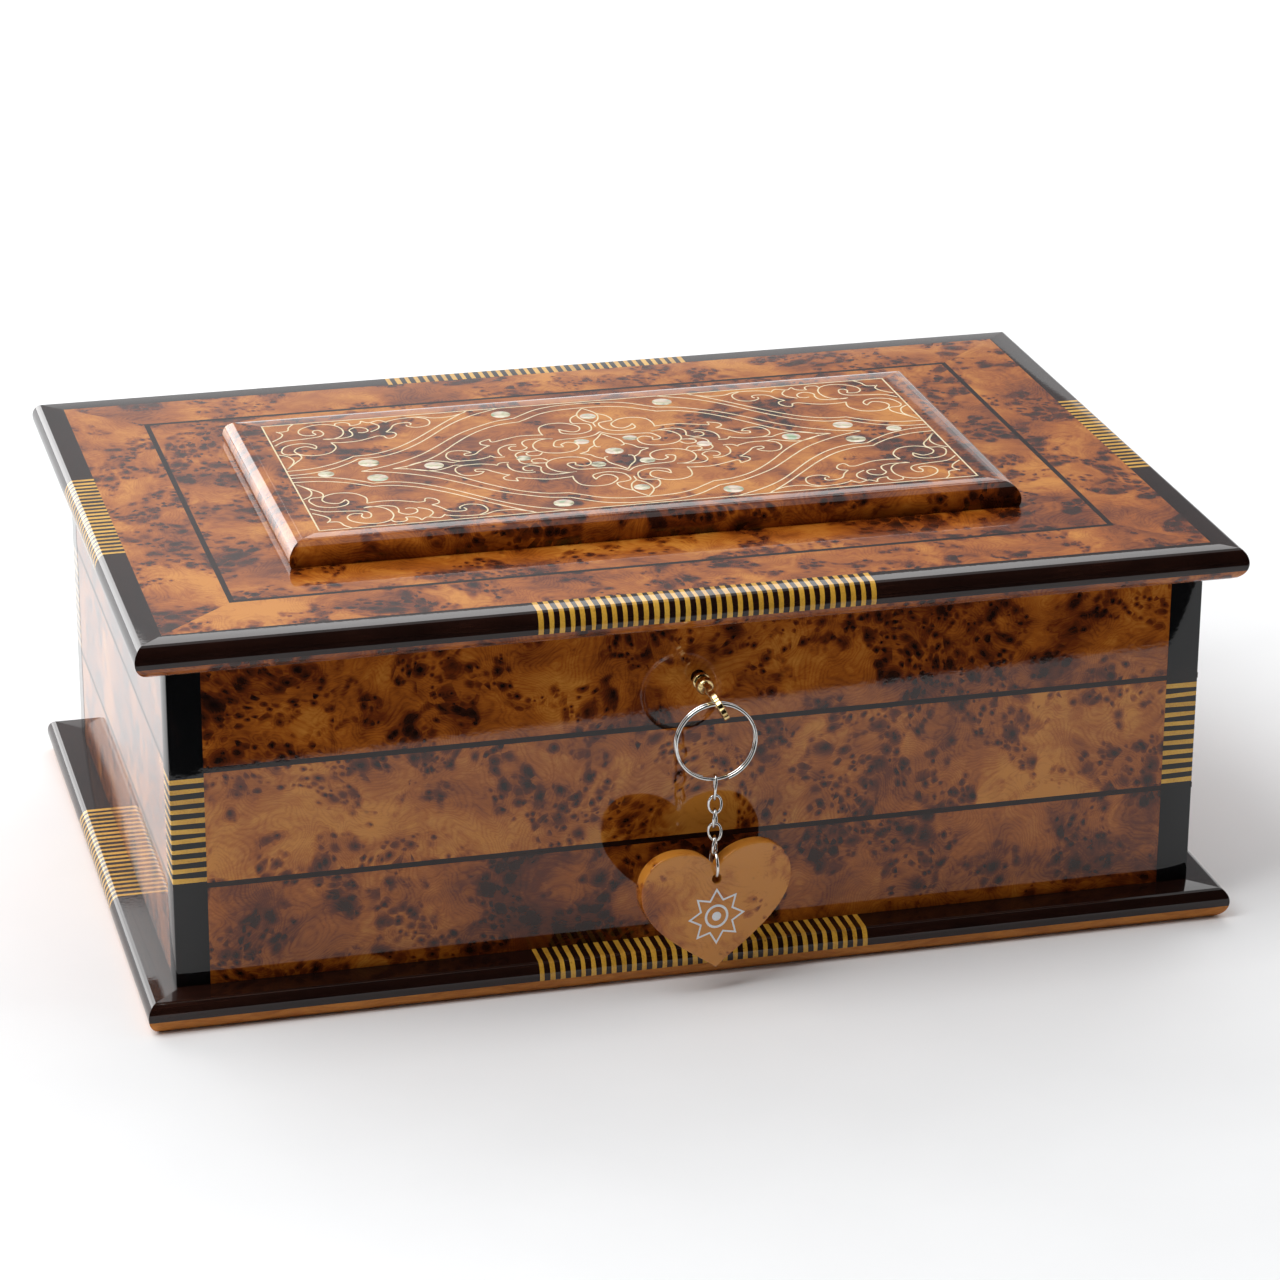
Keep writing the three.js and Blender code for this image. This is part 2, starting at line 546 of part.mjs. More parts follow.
function addKey() {
  const shank = new THREE.LatheGeometry(SHANK_PROFILE.map(([r, y]) => new THREE.Vector2(r, y)).reverse(), 14);
  const bit = slab(-BIT.x, BIT.x, BIT.y0, BIT.y1, BIT.z0, BIT.z1);
  const key = toGeometry(toSolid(shank).add(toSolid(bowGeometry())).add(toSolid(bit)));
  add('key', key.rotateY(KEY_TILT).translate(0, 0, KEY_Z), BRASS);
}

// ---- Split ring, chain and fob -----------------------------------------------------------------

const RING_TURNS = 1.9;
const RING_START = 0.8;            // where the wire's outer end lies, in turns from +X

// Two turns of wire lying against each other.
class SplitRingCurve extends THREE.Curve {
  getPoint(t) {
    const turns = t * RING_TURNS;
    const angle = (turns + RING_START) * Math.PI * 2;
    const y = BOW_Y + (turns - RING_TURNS / 2) * RING_PITCH;
    return new THREE.Vector3(RING_R * Math.cos(angle), y, RING_CENTRE_Z + RING_R * Math.sin(angle));
  }
}

function addSplitRing() {
  const section = new THREE.Shape();
  section.absarc(0, 0, RING_WIRE / 2, 0, Math.PI * 2);
  const geometry = new THREE.ExtrudeGeometry(section,
    { steps: 48, extrudePath: new SplitRingCurve(), curveSegments: 4, bevelEnabled: false });
  add('split_ring', geometry, NICKEL);
}

// A round ring drawn out to a link: its two halves move apart along Z. Then it is twisted by a quarter
// turn, from the YZ plane at its top to the XZ plane at its bottom.
function link(length, width, wire, topZ) {
  const geometry = new THREE.TorusGeometry(width / 2, wire / 2, 6, 16);
  geometry.rotateX(Math.PI / 2);
  const stretch = (length - width) / 2;
  return reshape(geometry, (p) => {
    p.z += Math.abs(p.z) < 1e-4 ? 0 : Math.sign(p.z) * stretch;
    const turn = (Math.PI / 4) * (1 + p.z / (length / 2));
    p.set(p.x * Math.cos(turn) - p.y * Math.sin(turn), p.x * Math.sin(turn) + p.y * Math.cos(turn), p.z);
    p.add(new THREE.Vector3(0, BOW_Y, topZ - length / 2));
  });
}

// Each link hangs on the bottom wire of the one above. The height of the last one's is handed on.
function addChain() {
  let wireZ = RING_CENTRE_Z - RING_R;
  let wire = RING_WIRE;
  for (let i = 1; i <= LINK_COUNT; i += 1) {
    const length = i === 1 ? FIRST_LINK_LENGTH : LINK_LENGTH;
    const topZ = wireZ + (wire + LINK_WIRE) / 2 + TOUCH;
    add(`chain_link_${i}`, link(length, LINK_WIDTH, LINK_WIRE, topZ), NICKEL);
    wireZ = topZ - length;
    wire = LINK_WIRE;
  }
  return wireZ;
}

function heartShape() {
  const w = FOB_W / 2;
  const h = FOB_H;
  const heart = new THREE.Shape();
  heart.moveTo(0, -h);
  heart.bezierCurveTo(w * 0.25, -h * 0.86, w, -h * 0.62, w, -h * 0.3);
  heart.bezierCurveTo(w, -h * 0.1, w * 0.78, 0, w * 0.52, 0);
  heart.bezierCurveTo(w * 0.27, 0, w * 0.08, -h * 0.07, 0, -h * 0.17);
  heart.bezierCurveTo(-w * 0.08, -h * 0.07, -w * 0.27, 0, -w * 0.52, 0);
  heart.bezierCurveTo(-w * 0.78, 0, -w, -h * 0.1, -w, -h * 0.3);
  heart.bezierCurveTo(-w, -h * 0.62, -w * 0.25, -h * 0.86, 0, -h);
  return heart;
}

// The fob hangs from the end ring by a hole near its notch, and the end ring from the last link.
function addFob(lastWireZ) {
  const topZ = lastWireZ + (LINK_WIRE + END_RING_WIRE) / 2 + TOUCH;
  const endRing = new THREE.TorusGeometry(END_RING_R, END_RING_WIRE / 2, 8, 20);
  endRing.rotateX(Math.PI / 2).rotateZ(Math.PI / 2);
  add('fob_ring', endRing.translate(0, BOW_Y, topZ - END_RING_R), NICKEL);

  const sagitta = END_RING_R - Math.sqrt(END_RING_R ** 2 - (FOB_THICK / 2) ** 2);
  const holeZ = topZ - 2 * END_RING_R + sagitta + END_RING_WIRE / 2 - FOB_HOLE_R + 2 * TOUCH;
  const shape = heartShape();
  const hole = new THREE.Path();
  hole.absarc(0, -FOB_HOLE_DROP, FOB_HOLE_R, 0, Math.PI * 2);
  shape.holes.push(hole);
  const heart = new THREE.ExtrudeGeometry(shape,
    { depth: FOB_THICK, bevelEnabled: false, curveSegments: 7 });
  heart.translate(0, FOB_HOLE_DROP, -FOB_THICK / 2).rotateX(Math.PI / 2).rotateZ(FOB_TURN);
  add('heart_fob', heart.translate(0, BOW_Y, holeZ), PANEL_BURL);
}

// ---- The whole box -----------------------------------------------------------------------------

addPlinth();
addPosts();
addWalls();
addLid();
addMarquetry();
addHinges();
addLock();
addKey();
addSplitRing();
addFob(addChain());

export default box;
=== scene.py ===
# Looks for the inlaid wooden box: lacquered thuya burl, ebonised edges with striped runs, wire and
# pearl marquetry, brass and nickel hardware. Metres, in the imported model's frame; the front faces -Y.
import math
import random

import bmesh
import bpy
from mathutils import Matrix, Vector


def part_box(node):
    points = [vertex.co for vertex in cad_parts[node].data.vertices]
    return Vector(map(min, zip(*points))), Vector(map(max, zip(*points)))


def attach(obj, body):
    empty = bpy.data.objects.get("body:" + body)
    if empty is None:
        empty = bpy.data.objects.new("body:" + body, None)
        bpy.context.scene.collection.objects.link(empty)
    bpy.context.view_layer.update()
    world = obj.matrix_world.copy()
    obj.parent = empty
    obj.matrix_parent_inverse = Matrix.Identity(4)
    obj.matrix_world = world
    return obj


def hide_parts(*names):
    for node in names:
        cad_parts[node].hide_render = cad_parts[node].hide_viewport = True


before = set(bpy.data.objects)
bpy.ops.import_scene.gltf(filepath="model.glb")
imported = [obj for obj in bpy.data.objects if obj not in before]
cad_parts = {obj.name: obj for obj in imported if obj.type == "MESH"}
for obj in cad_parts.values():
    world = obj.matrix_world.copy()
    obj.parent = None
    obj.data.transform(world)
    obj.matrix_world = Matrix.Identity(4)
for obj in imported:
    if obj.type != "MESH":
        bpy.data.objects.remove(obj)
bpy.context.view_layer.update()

MM = 0.001
random.seed(61)

# ---- Sizes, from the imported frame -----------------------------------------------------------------

LID_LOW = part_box("lid_board")[0]
EDGE_LOW, EDGE_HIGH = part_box("lid_edging_front")
PLINTH_LOW, PLINTH_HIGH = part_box("plinth_edging_front")
FIELD_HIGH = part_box("lid_border_veneer")[1]
STRING_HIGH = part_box("lid_string")[1]
PANEL_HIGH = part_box("raised_panel")[1]
SHEET_LOW, SHEET_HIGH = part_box("marquetry_sheet")
POST_LOW, POST_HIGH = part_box("corner_post_front_right")
RUN_LOW, RUN_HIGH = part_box("post_stripes_front_right")
RING_LOW, RING_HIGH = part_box("split_ring")
FOB_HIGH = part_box("heart_fob")[1]

NOSE = 2.0 * MM
FLAT_X = EDGE_HIGH.x - NOSE
FLAT_Y = -EDGE_LOW.y - NOSE
LID_TOP = EDGE_HIGH.z
LID_UNDERSIDE = LID_LOW.z
LID_WOOD_TOP = EDGE_LOW.z
PLINTH_TOP = PLINTH_HIGH.z
PLINTH_WOOD = PLINTH_LOW.z
BAND = FLAT_X - FIELD_HIGH.x
PLINTH_BAND = 12.0 * MM
PANEL_NOSE = 4.2 * MM
PANEL_FLAT_X = PANEL_HIGH.x - PANEL_NOSE
PANEL_FLAT_Y = PANEL_HIGH.y - PANEL_NOSE
PANEL_TOP = SHEET_HIGH.z - 0.15 * MM
INLAY_X = 91.9 * MM
INLAY_Y = 43.8 * MM
QUARTER_TURN = 1.57
STRIPE_PITCH = 2.8 * MM
YELLOW_LOSS = 0.022                 # each edge of a yellow strip gives up this share of the pitch
LONG_RUN = 32.5 * STRIPE_PITCH
SIDE_RUN = 21.5 * STRIPE_PITCH
WIRE_WIDTH = 0.42 * MM
WIRE_PROUD = 0.05 * MM
KEY_Z = 82.6 * MM
KEY_TILT = math.radians(-28)
BOW_Y = -107.5 * MM
RING_WIRE = 0.5 * MM                # these wires are given by their radius
LINK_WIRE = 0.38 * MM
JUMP_RING_WIRE = 0.45 * MM
LINK_HALF_WIDTH = 1.7 * MM
LINK_SLACK = 0.03 * MM              # each link reaches this far past its solid at both ends
LINK_TURNS = (78, -8, 64, -24, 60)  # degrees that each chain link is turned from facing the front
LINK_TWIST = 12                     # and how much further its top is turned than its middle
FOB_WIDTH, FOB_HEIGHT, FOB_THICK = 43 * MM, 34.5 * MM, 4 * MM
FOB_TURN = math.radians(8)
FOB_HOLE = 1.3 * MM                 # its radius
HINGE_SCREW_X = 12.0 * MM           # from the middle of a hinge
HINGE_LEAF_SET = 0.1 * MM           # each leaf lies this far inside the joint between lid and body
HINGE_LEAF_END = 0.3 * MM           # and stops this far inside the body's back
SCREW_HEAD, SCREW_CORE = 1.35 * MM, 0.8 * MM   # radii at the top and the bottom of a countersunk head
SCREW_SET, SCREW_DEPTH = 0.1 * MM, 0.7 * MM    # and how deep these lie in the leaf
SLOT_DEPTH, SLOT_HALF = 0.25 * MM, 0.2 * MM

CARD_EDGE = -0.257                  # where the white floor ends, in front of the box, for reflections
CARD_SLANT = 0.081                  # the floor's end comes forward by this much for each metre to the right
ROOM_FRONT = -2.0                   # the dark room behind the camera
SKY_BACK = 2.2                      # where the backdrop stops, and its height there
SKY_LOW = 0.82

# ---- Node trees -----------------------------------------------------------------------------------


class Tree:
    """A material's node tree. Its methods add one node each and hand back an output socket."""

    def __init__(self, name):
        self.material = bpy.data.materials.new(name)
        self.material.use_nodes = True
        self.tree = self.material.node_tree
        self.shader = self.tree.nodes["Principled BSDF"]

    def node(self, kind, inputs=None, **settings):
        made = self.tree.nodes.new(kind)
        for key, value in settings.items():
            setattr(made, key, value)
        for key, value in (inputs or {}).items():
            self.put(made.inputs[key], value)
        return made

    def put(self, socket, value):
        if isinstance(value, bpy.types.NodeSocket):
            self.tree.links.new(value, socket)
        else:
            socket.default_value = value

    def math(self, operation, a, b=0.0, c=0.0, clamp=False):
        inputs = {0: a, 1: b}
        if operation == "MULTIPLY_ADD":
            inputs[2] = c
        made = self.node("ShaderNodeMath", inputs, operation=operation, use_clamp=clamp)
        return made.outputs[0]

    def vector(self, operation, a, b=(0.0, 0.0, 0.0), scale=1.0):
        inputs = {0: a, 1: b}
        if operation == "SCALE":
            inputs = {0: a, 3: scale}
        return self.node("ShaderNodeVectorMath", inputs, operation=operation).outputs[0]

    def step(self, value, low, high):
        """0 below low and 1 above high, with a smooth rise between."""
        made = self.node("ShaderNodeMapRange", {0: value, 1: low, 2: high},
                         interpolation_type="SMOOTHSTEP")
        return made.outputs[0]

    def noise(self, place, scale, detail=2.0, roughness=0.5, colour=False, distortion=0.0):
        inputs = {"Vector": place, "Scale": scale, "Detail": detail, "Roughness": roughness,
                  "Distortion": distortion}
        return self.node("ShaderNodeTexNoise", inputs).outputs["Color" if colour else "Fac"]

    def cells(self, place, scale):
        made = self.node("ShaderNodeTexVoronoi", {"Vector": place, "Scale": scale})
        return made.outputs["Distance"], made.outputs["Color"]

    def stretch(self, place, scale):
        return self.node("ShaderNodeMapping", {"Vector": place, "Scale": scale}).outputs[0]

    def object_place(self):
        return self.node("ShaderNodeTexCoord").outputs["Object"]

    def drift(self, place, scale):
        """Three numbers that wander slowly about zero."""
        return self.vector("SUBTRACT", self.noise(place, scale, 2.0, colour=True), (0.5, 0.5, 0.5))

    def moved(self, place, drift, reach):
        return self.vector("ADD", place, self.vector("SCALE", drift, scale=reach))

    def split(self, value):
        return self.node("ShaderNodeSeparateXYZ", {0: value}).outputs

    def mix(self, share, a, b, blend="MIX"):
        made = self.node("ShaderNodeMix", {0: share, 6: a, 7: b}, data_type="RGBA", blend_type=blend)
        return made.outputs[2]

    def ramp(self, value, stops):
        made = self.node("ShaderNodeValToRGB", {0: value})
        elements = made.color_ramp.elements
        while len(elements) < len(stops):
            elements.new(0.5)
        for element, (place, colour) in zip(elements, stops):
            element.position = place
            element.color = (*colour, 1.0)
        return made.outputs[0]

    def millimetres(self, offset=(0.0, 0.0, 0.0), turn=(0.0, 0.0, 0.0)):
        """The place on the object in millimetres, turned and moved to another stretch of the pattern."""
        made = self.node("ShaderNodeMapping", {"Vector": self.object_place(), "Location": offset,
                                               "Rotation": turn, "Scale": (1000.0, 1000.0, 1000.0)})
        return made.outputs[0]

    def bump(self, height, strength, distance):
        made = self.node("ShaderNodeBump", {"Height": height, "Strength": strength, "Distance": distance})
        return made.outputs[0]

    def finish(self, **sockets):
        for name, value in sockets.items():
            self.put(self.shader.inputs[name.replace("_", " ")], value)
        return self.material


def lacquered(tree, colour, roughness, normal, coat=1.0):
    """Wood under a thick clear lacquer, polished so that it mirrors its surroundings."""
    sockets = {"Base_Color": colour, "Roughness": roughness, "Normal": normal, "Coat_Weight": coat,
               "Coat_Roughness": 0.03, "Coat_IOR": 1.5, "Specular_IOR_Level": 0.02}
    peel = tree.noise(tree.millimetres(), 0.9, 2.0)
    tree.put(tree.shader.inputs["Coat Normal"], tree.bump(peel, 0.12, 0.00004))
    return tree.finish(**sockets)


# ---- Burl -----------------------------------------------------------------------------------------

GOLD = (0.57, 0.220, 0.031)
AMBER = (0.355, 0.094, 0.0085)
RUSSET = (0.135, 0.0245, 0.0030)
UMBER = (0.027, 0.0058, 0.0020)
EYE = (0.0065, 0.0025, 0.0018)
EYE_CELLS = ((0.17, 0.17, 0.70), (0.30, 0.19, 0.62), (0.52, 0.21, 0.42))


def burl_eyes(tree, place, crowd):
    """Small dark eyes of three sizes where it is crowded. Returns the eyes, the soft dark round them, and
    how much the figure lines swell there."""
    spots, halos, swell = [], [], []
    for scale, size, share in EYE_CELLS:
        distance, colour = tree.cells(tree.vector("ADD", place, (scale * 50, 0.0, 0.0)), scale)
        chance, girth, _ = tree.split(colour)
        present = tree.math("MULTIPLY", crowd, tree.step(chance, 0.98 - share, 1.02 - share))
        radius = tree.math("MULTIPLY_ADD", girth, size * 0.8, size * 0.35)
        inside = tree.math("DIVIDE", distance, radius)
        spots.append(tree.math("MULTIPLY", present, tree.step(inside, 1.45, 0.35)))
        halos.append(tree.math("MULTIPLY", present, tree.step(inside, 4.4, 0.6)))
        swell.append(tree.math("MULTIPLY", present, tree.step(distance, 0.8, 0.0)))
    spot = tree.math("MAXIMUM", tree.math("MAXIMUM", spots[0], spots[1]), spots[2])
    halo = tree.math("MAXIMUM", tree.math("MAXIMUM", halos[0], halos[1]), halos[2])
    return spot, halo, tree.math("ADD", swell[0], swell[1])


def figure_lines(tree, bent, swell):
    """Fine growth lines, as contours of a slow noise, that bulge round the eyes."""
    along = tree.math("MULTIPLY", tree.noise(bent, 0.030, 2.0, 0.45), 66.0)
    phase = tree.math("ADD", along, tree.math("MULTIPLY", swell, 2.4))
    sine = tree.math("SINE", tree.math("MULTIPLY", phase, 6.2832))
    return tree.math("POWER", tree.math("MULTIPLY_ADD", sine, 0.5, 0.5), 2.2)


def burl(name, offset, turn=0.0, dark=0.0, eyes=0.5, bands=(), contrast=1.0):
    """Thuya burl: a warm ground with soft dark clouds, clusters of small dark eyes, and fine figure
    lines that flow round them. dark shades it, and eyes is how much of it has clusters. Each of bands
    is a height at which one sheet of veneer ends, and how much darker the next one up is."""
    tree = Tree(name)
    place = tree.millimetres(offset, (0.0, 0.0, turn))
    shade = dark + 0.29 - 0.57 * contrast
    for height, darker in bands:
        above = tree.math("GREATER_THAN", tree.split(tree.object_place())[2], height)
        shade = tree.math("MULTIPLY_ADD", above, darker, shade)
        shift = tree.node("ShaderNodeCombineXYZ", {0: tree.math("MULTIPLY", above, 173.0),
                                                   1: tree.math("MULTIPLY", above, 57.0)}).outputs[0]
        place = tree.vector("ADD", place, shift)
    drift = tree.drift(place, 0.024)
    gently = tree.moved(place, drift, 16.0)
    bent = tree.moved(place, drift, 36.0)
    bent = tree.moved(bent, tree.drift(bent, 0.10), 5.0)

    cloud = tree.noise(gently, 0.05, 3.0, 0.6)
    patch = tree.noise(gently, 0.020, 2.0, 0.5)
    crowd = tree.step(tree.noise(tree.vector("ADD", gently, (91.0, 17.0, 40.0)), 0.055, 2.0, 0.6),
                      0.56 - 0.16 * eyes, 0.64 - 0.16 * eyes)
    spot, halo, swell = burl_eyes(tree, gently, crowd)
    lines = figure_lines(tree, bent, swell)
    fibre = tree.noise(tree.stretch(bent, (0.5, 2.4, 2.4)), 1.1, 4.0, 0.7)
    flame = tree.noise(tree.stretch(bent, (0.3, 1.0, 1.0)), 0.22, 3.0, 0.6)

    tone = tree.math("MULTIPLY_ADD", cloud, 1.15 * contrast, shade)
    tone = tree.math("MULTIPLY_ADD", patch, 0.8 * contrast, tree.math("SUBTRACT", tone, 0.40 * contrast))
    tone = tree.math("MULTIPLY_ADD", flame, 0.45, tree.math("SUBTRACT", tone, 0.22))
    tone = tree.math("MULTIPLY_ADD", halo, 0.50, tone)
    tone = tree.math("MULTIPLY_ADD", crowd, 0.10, tone)
    tone = tree.math("MULTIPLY_ADD", lines, 0.095, tree.math("SUBTRACT", tone, 0.03))
    tone = tree.math("MULTIPLY_ADD", fibre, 0.44, tree.math("SUBTRACT", tone, 0.22))
    ground = tree.ramp(tone, [(0.02, GOLD), (0.33, AMBER), (0.62, RUSSET), (0.95, UMBER)])
    colour = tree.mix(tree.math("MULTIPLY", spot, 0.96), ground, (*EYE, 1.0))
    height = tree.math("MULTIPLY_ADD", spot, -0.8, tree.math("MULTIPLY", fibre, 0.5))
    return lacquered(tree, colour, 0.42, tree.bump(height, 0.12, 0.0003))


# ---- Other materials ------------------------------------------------------------------------------


def ebony(name, along, black, brown):
    """Black-dyed wood: fibres between black and brown, with a little bare brown where it has worn."""
    tree = Tree(name)
    place = tree.millimetres()
    scale = {"X": (0.05, 1.0, 1.0), "Y": (1.0, 0.05, 1.0), "Z": (1.0, 1.0, 0.05)}[along]
    fibre = tree.noise(tree.stretch(place, scale), 1.6, 4.0, 0.7)
    blotch = tree.noise(place, 0.06, 3.0)
    shade = tree.math("MULTIPLY_ADD", blotch, 0.5, tree.math("MULTIPLY", fibre, 0.6))
    colour = tree.ramp(shade, [(0.35, black), (0.60, brown), (0.85, (0.030, 0.010, 0.006))])
    return lacquered(tree, colour, 0.5, tree.bump(fibre, 0.15, 0.0002), coat=0.85)


def lemonwood(name):
    """Yellow strips: fine grain with darker pores, and a tint that drifts along the run."""
    tree = Tree(name)
    place = tree.millimetres()
    fibre = tree.noise(place, 2.2, 4.0, 0.75)
    tint = tree.noise(place, 0.11, 2.0)
    speck = tree.step(tree.noise(place, 1.1, 2.0, 0.5), 0.66, 0.78)
    shade = tree.math("MULTIPLY_ADD", fibre, 0.55, tree.math("MULTIPLY", tint, 0.6))
    colour = tree.ramp(shade, [(0.3, (0.78, 0.47, 0.085)), (0.55, (0.64, 0.345, 0.042)),
                               (0.85, (0.34, 0.15, 0.016))])
    colour = tree.mix(tree.math("MULTIPLY", speck, 0.45), colour, (0.16, 0.065, 0.012, 1.0))
    return lacquered(tree, colour, 0.4, tree.bump(fibre, 0.12, 0.0002))


def plain_wood(name, light, dark, stretch, gloss=0.25, roughness=0.42):
    """Straight-grained wood with growth lines and pores."""
    tree = Tree(name)
    place = tree.millimetres()
    bent = tree.moved(place, tree.drift(place, 0.03), 14.0)
    stretched = tree.stretch(bent, stretch)
    growth = tree.noise(stretched, 0.35, 3.0, 0.6)
    pores = tree.noise(stretched, 2.4, 3.0, 0.7)
    shade = tree.math("MULTIPLY_ADD", growth, 0.8, tree.math("MULTIPLY", pores, 0.35))
    colour = tree.ramp(shade, [(0.35, light), (0.75, dark)])
    return lacquered(tree, colour, roughness, tree.bump(pores, 0.25, 0.0002), coat=gloss)


def pearl(name):
    """Mother-of-pearl: cloudy white with green and rose bands."""
    tree = Tree(name)
    place = tree.millimetres()
    sheen = tree.noise(place, 0.16, 2.0, 0.6)
    bands = tree.noise(tree.stretch(place, (0.6, 2.2, 1.0)), 0.55, 3.0, 0.6, distortion=0.8)
    shade = tree.math("MULTIPLY_ADD", bands, 0.9, tree.math("MULTIPLY_ADD", sheen, 1.9, -0.9))
    colour = tree.ramp(shade, [(0.15, (0.15, 0.12, 0.06)), (0.35, (0.36, 0.34, 0.19)),
                               (0.50, (0.62, 0.58, 0.40)), (0.66, (0.62, 0.44, 0.36)),
                               (0.82, (0.26, 0.36, 0.20))])
    return lacquered(tree, colour, 0.22, tree.bump(bands, 0.1, 0.0002))


def pale_wire(name):
    """Thin inlaid wire, pale gold under the lacquer."""
    tree = Tree(name)
    place = tree.millimetres()
    shade = tree.noise(place, 0.5, 3.0, 0.6)
    colour = tree.ramp(shade, [(0.3, (0.86, 0.76, 0.50)), (0.7, (0.70, 0.56, 0.30))])
    return lacquered(tree, colour, 0.3, tree.bump(shade, 0.1, 0.0001))


def metal(name, bright, dull, roughness, scratch=0.12):
    """Plated or polished metal with fine scratches, and duller in random patches."""
    tree = Tree(name)
    place = tree.millimetres()
    tarnish = tree.noise(place, 0.7, 4.0, 0.65)
    fine = tree.noise(tree.stretch(place, (1.0, 0.12, 1.0)), 9.0, 2.0, 0.6)
    colour = tree.ramp(tarnish, [(0.35, bright), (0.8, dull)])
    rough = tree.math("MULTIPLY_ADD", tarnish, roughness, tree.math("MULTIPLY", fine, scratch))
    return tree.finish(Base_Color=colour, Metallic=1.0, Roughness=rough,
                       Normal=tree.bump(fine, 0.08, 0.00005))


def silver_print(name):
    tree = Tree(name)
    grain = tree.noise(tree.millimetres(), 6.0, 2.0)
    colour = tree.ramp(grain, [(0.3, (0.80, 0.81, 0.82)), (0.75, (0.60, 0.61, 0.63))])
    return tree.finish(Base_Color=colour, Metallic=0.35, Roughness=0.38,
                       Normal=tree.bump(grain, 0.1, 0.0001))


def dark_card(name):
    tree = Tree(name)
    grain = tree.noise(tree.millimetres(), 0.05, 2.0)
    colour = tree.ramp(grain, [(0.3, (0.004, 0.004, 0.004)), (0.7, (0.007, 0.006, 0.006))])
    return tree.finish(Base_Color=colour, Roughness=0.9, Specular_IOR_Level=0.0)


def grey_sky(name):
    """The room above the white backdrop: as bright as it at the left, and dim at the right."""
    tree = Tree(name)
    shade = tree.step(tree.split(tree.object_place())[0], 0.15, 1.0)
    colour = tree.ramp(shade, [(0.0, (0.60, 0.60, 0.61)), (1.0, (0.26, 0.26, 0.27))])
    return tree.finish(Base_Color=(0.0, 0.0, 0.0, 1.0), Roughness=1.0, Specular_IOR_Level=0.0,
                       Emission_Color=colour, Emission_Strength=1.0)


def studio_paper(name):
    tree = Tree(name)
    grain = tree.noise(tree.millimetres(), 0.02, 3.0)
    colour = tree.ramp(grain, [(0.3, (0.86, 0.865, 0.87)), (0.7, (0.84, 0.845, 0.85))])
    return tree.finish(Base_Color=colour, Roughness=0.9, Specular_IOR_Level=0.0)


# ---- Mesh tools -----------------------------------------------------------------------------------


def piece(name, points, faces, body, materials, nodes=(), tints=None, smooth=32):
    """A closed mesh as a new piece that rides on a body. tints gives each face's material."""
    mesh = bpy.data.meshes.new(name)
    mesh.from_pydata([tuple(p) for p in points], [], faces)
    for material in materials:
        mesh.materials.append(material)
    if tints:
        mesh.polygons.foreach_set("material_index", tints)
    work = bmesh.new()
    work.from_mesh(mesh)
    bmesh.ops.remove_doubles(work, verts=work.verts, dist=1e-7)
    bmesh.ops.recalc_face_normals(work, faces=work.faces)
    work.to_mesh(mesh)
    work.free()
    mesh.polygons.foreach_set("use_smooth", [True] * len(mesh.polygons))
    mesh.set_sharp_from_angle(angle=math.radians(smooth))
    made = bpy.data.objects.new(name, mesh)
    bpy.context.scene.collection.objects.link(made)
    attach(made, body)
    if nodes:
        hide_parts(*nodes)
    return made


def loft(rings, closed=False):
    """Points and faces through rings of equal length, with an end cap on each end unless closed."""
    size = len(rings[0])
    points = [p for ring in rings for p in ring]
    faces = []
    count = len(rings) if closed else len(rings) - 1
    for i in range(count):
        j = (i + 1) % len(rings)
        for k in range(size):
            m = (k + 1) % size
            faces.append((i * size + k, i * size + m, j * size + m, j * size + k))
    if not closed:
        last = (len(rings) - 1) * size
        faces.append(tuple(range(size)))
        faces.append(tuple(range(last + size - 1, last - 1, -1)))
    return points, faces


def merge(parts):
    """Several (points, faces) as one."""
    points, faces = [], []
    for more_points, more_faces in parts:
        base = len(points)
        points += more_points
        faces += [tuple(i + base for i in face) for face in more_faces]
    return points, faces


def prism(outline, z0, z1):
    return loft([[(x, y, z0) for x, y in outline], [(x, y, z1) for x, y in outline]])


def rectangle(half_x, half_y):
    return [(-half_x, -half_y), (half_x, -half_y), (half_x, half_y), (-half_x, half_y)]


def circle(cx, cy, radius, sides):
    angles = [2 * math.pi * k / sides for k in range(sides)]
    return [(cx + radius * math.cos(angle), cy + radius * math.sin(angle)) for angle in angles]


def smooth_line(points, steps=5):
    """A Catmull-Rom curve through points of any dimension."""
    padded = [points[0], *points, points[-1]]
    line = []
    for i in range(len(points) - 1):
        a, b, c, d = (Vector(p) for p in padded[i:i + 4])
        for k in range(steps):
            t = k / steps
            line.append(0.5 * (2 * b + (c - a) * t + (2 * a - 5 * b + 4 * c - d) * t * t
                               + (3 * b - a - 3 * c + d) * t ** 3))
    line.append(Vector(points[-1]))
    return line


def tube(path, radius, sides=12, closed=False):
    """A round wire along a path of points."""
    rings = []
    count = len(path)
    normal = None
    for i in range(count):
        before = path[i - 1] if closed or i else path[i]
        after = path[(i + 1) % count] if closed or i < count - 1 else path[i]
        tangent = (Vector(after) - Vector(before)).normalized()
        if normal is None:
            normal = tangent.orthogonal().normalized()
        normal = (normal - tangent * normal.dot(tangent)).normalized()
        other = tangent.cross(normal)
        ring = []
        for k in range(sides):
            angle = 2 * math.pi * k / sides
            ring.append(Vector(path[i]) + radius * (normal * math.cos(angle) + other * math.sin(angle)))
        rings.append(ring)
    return loft(rings, closed)


def turned(points, matrix):
    return [matrix @ Vector(p) for p in points]


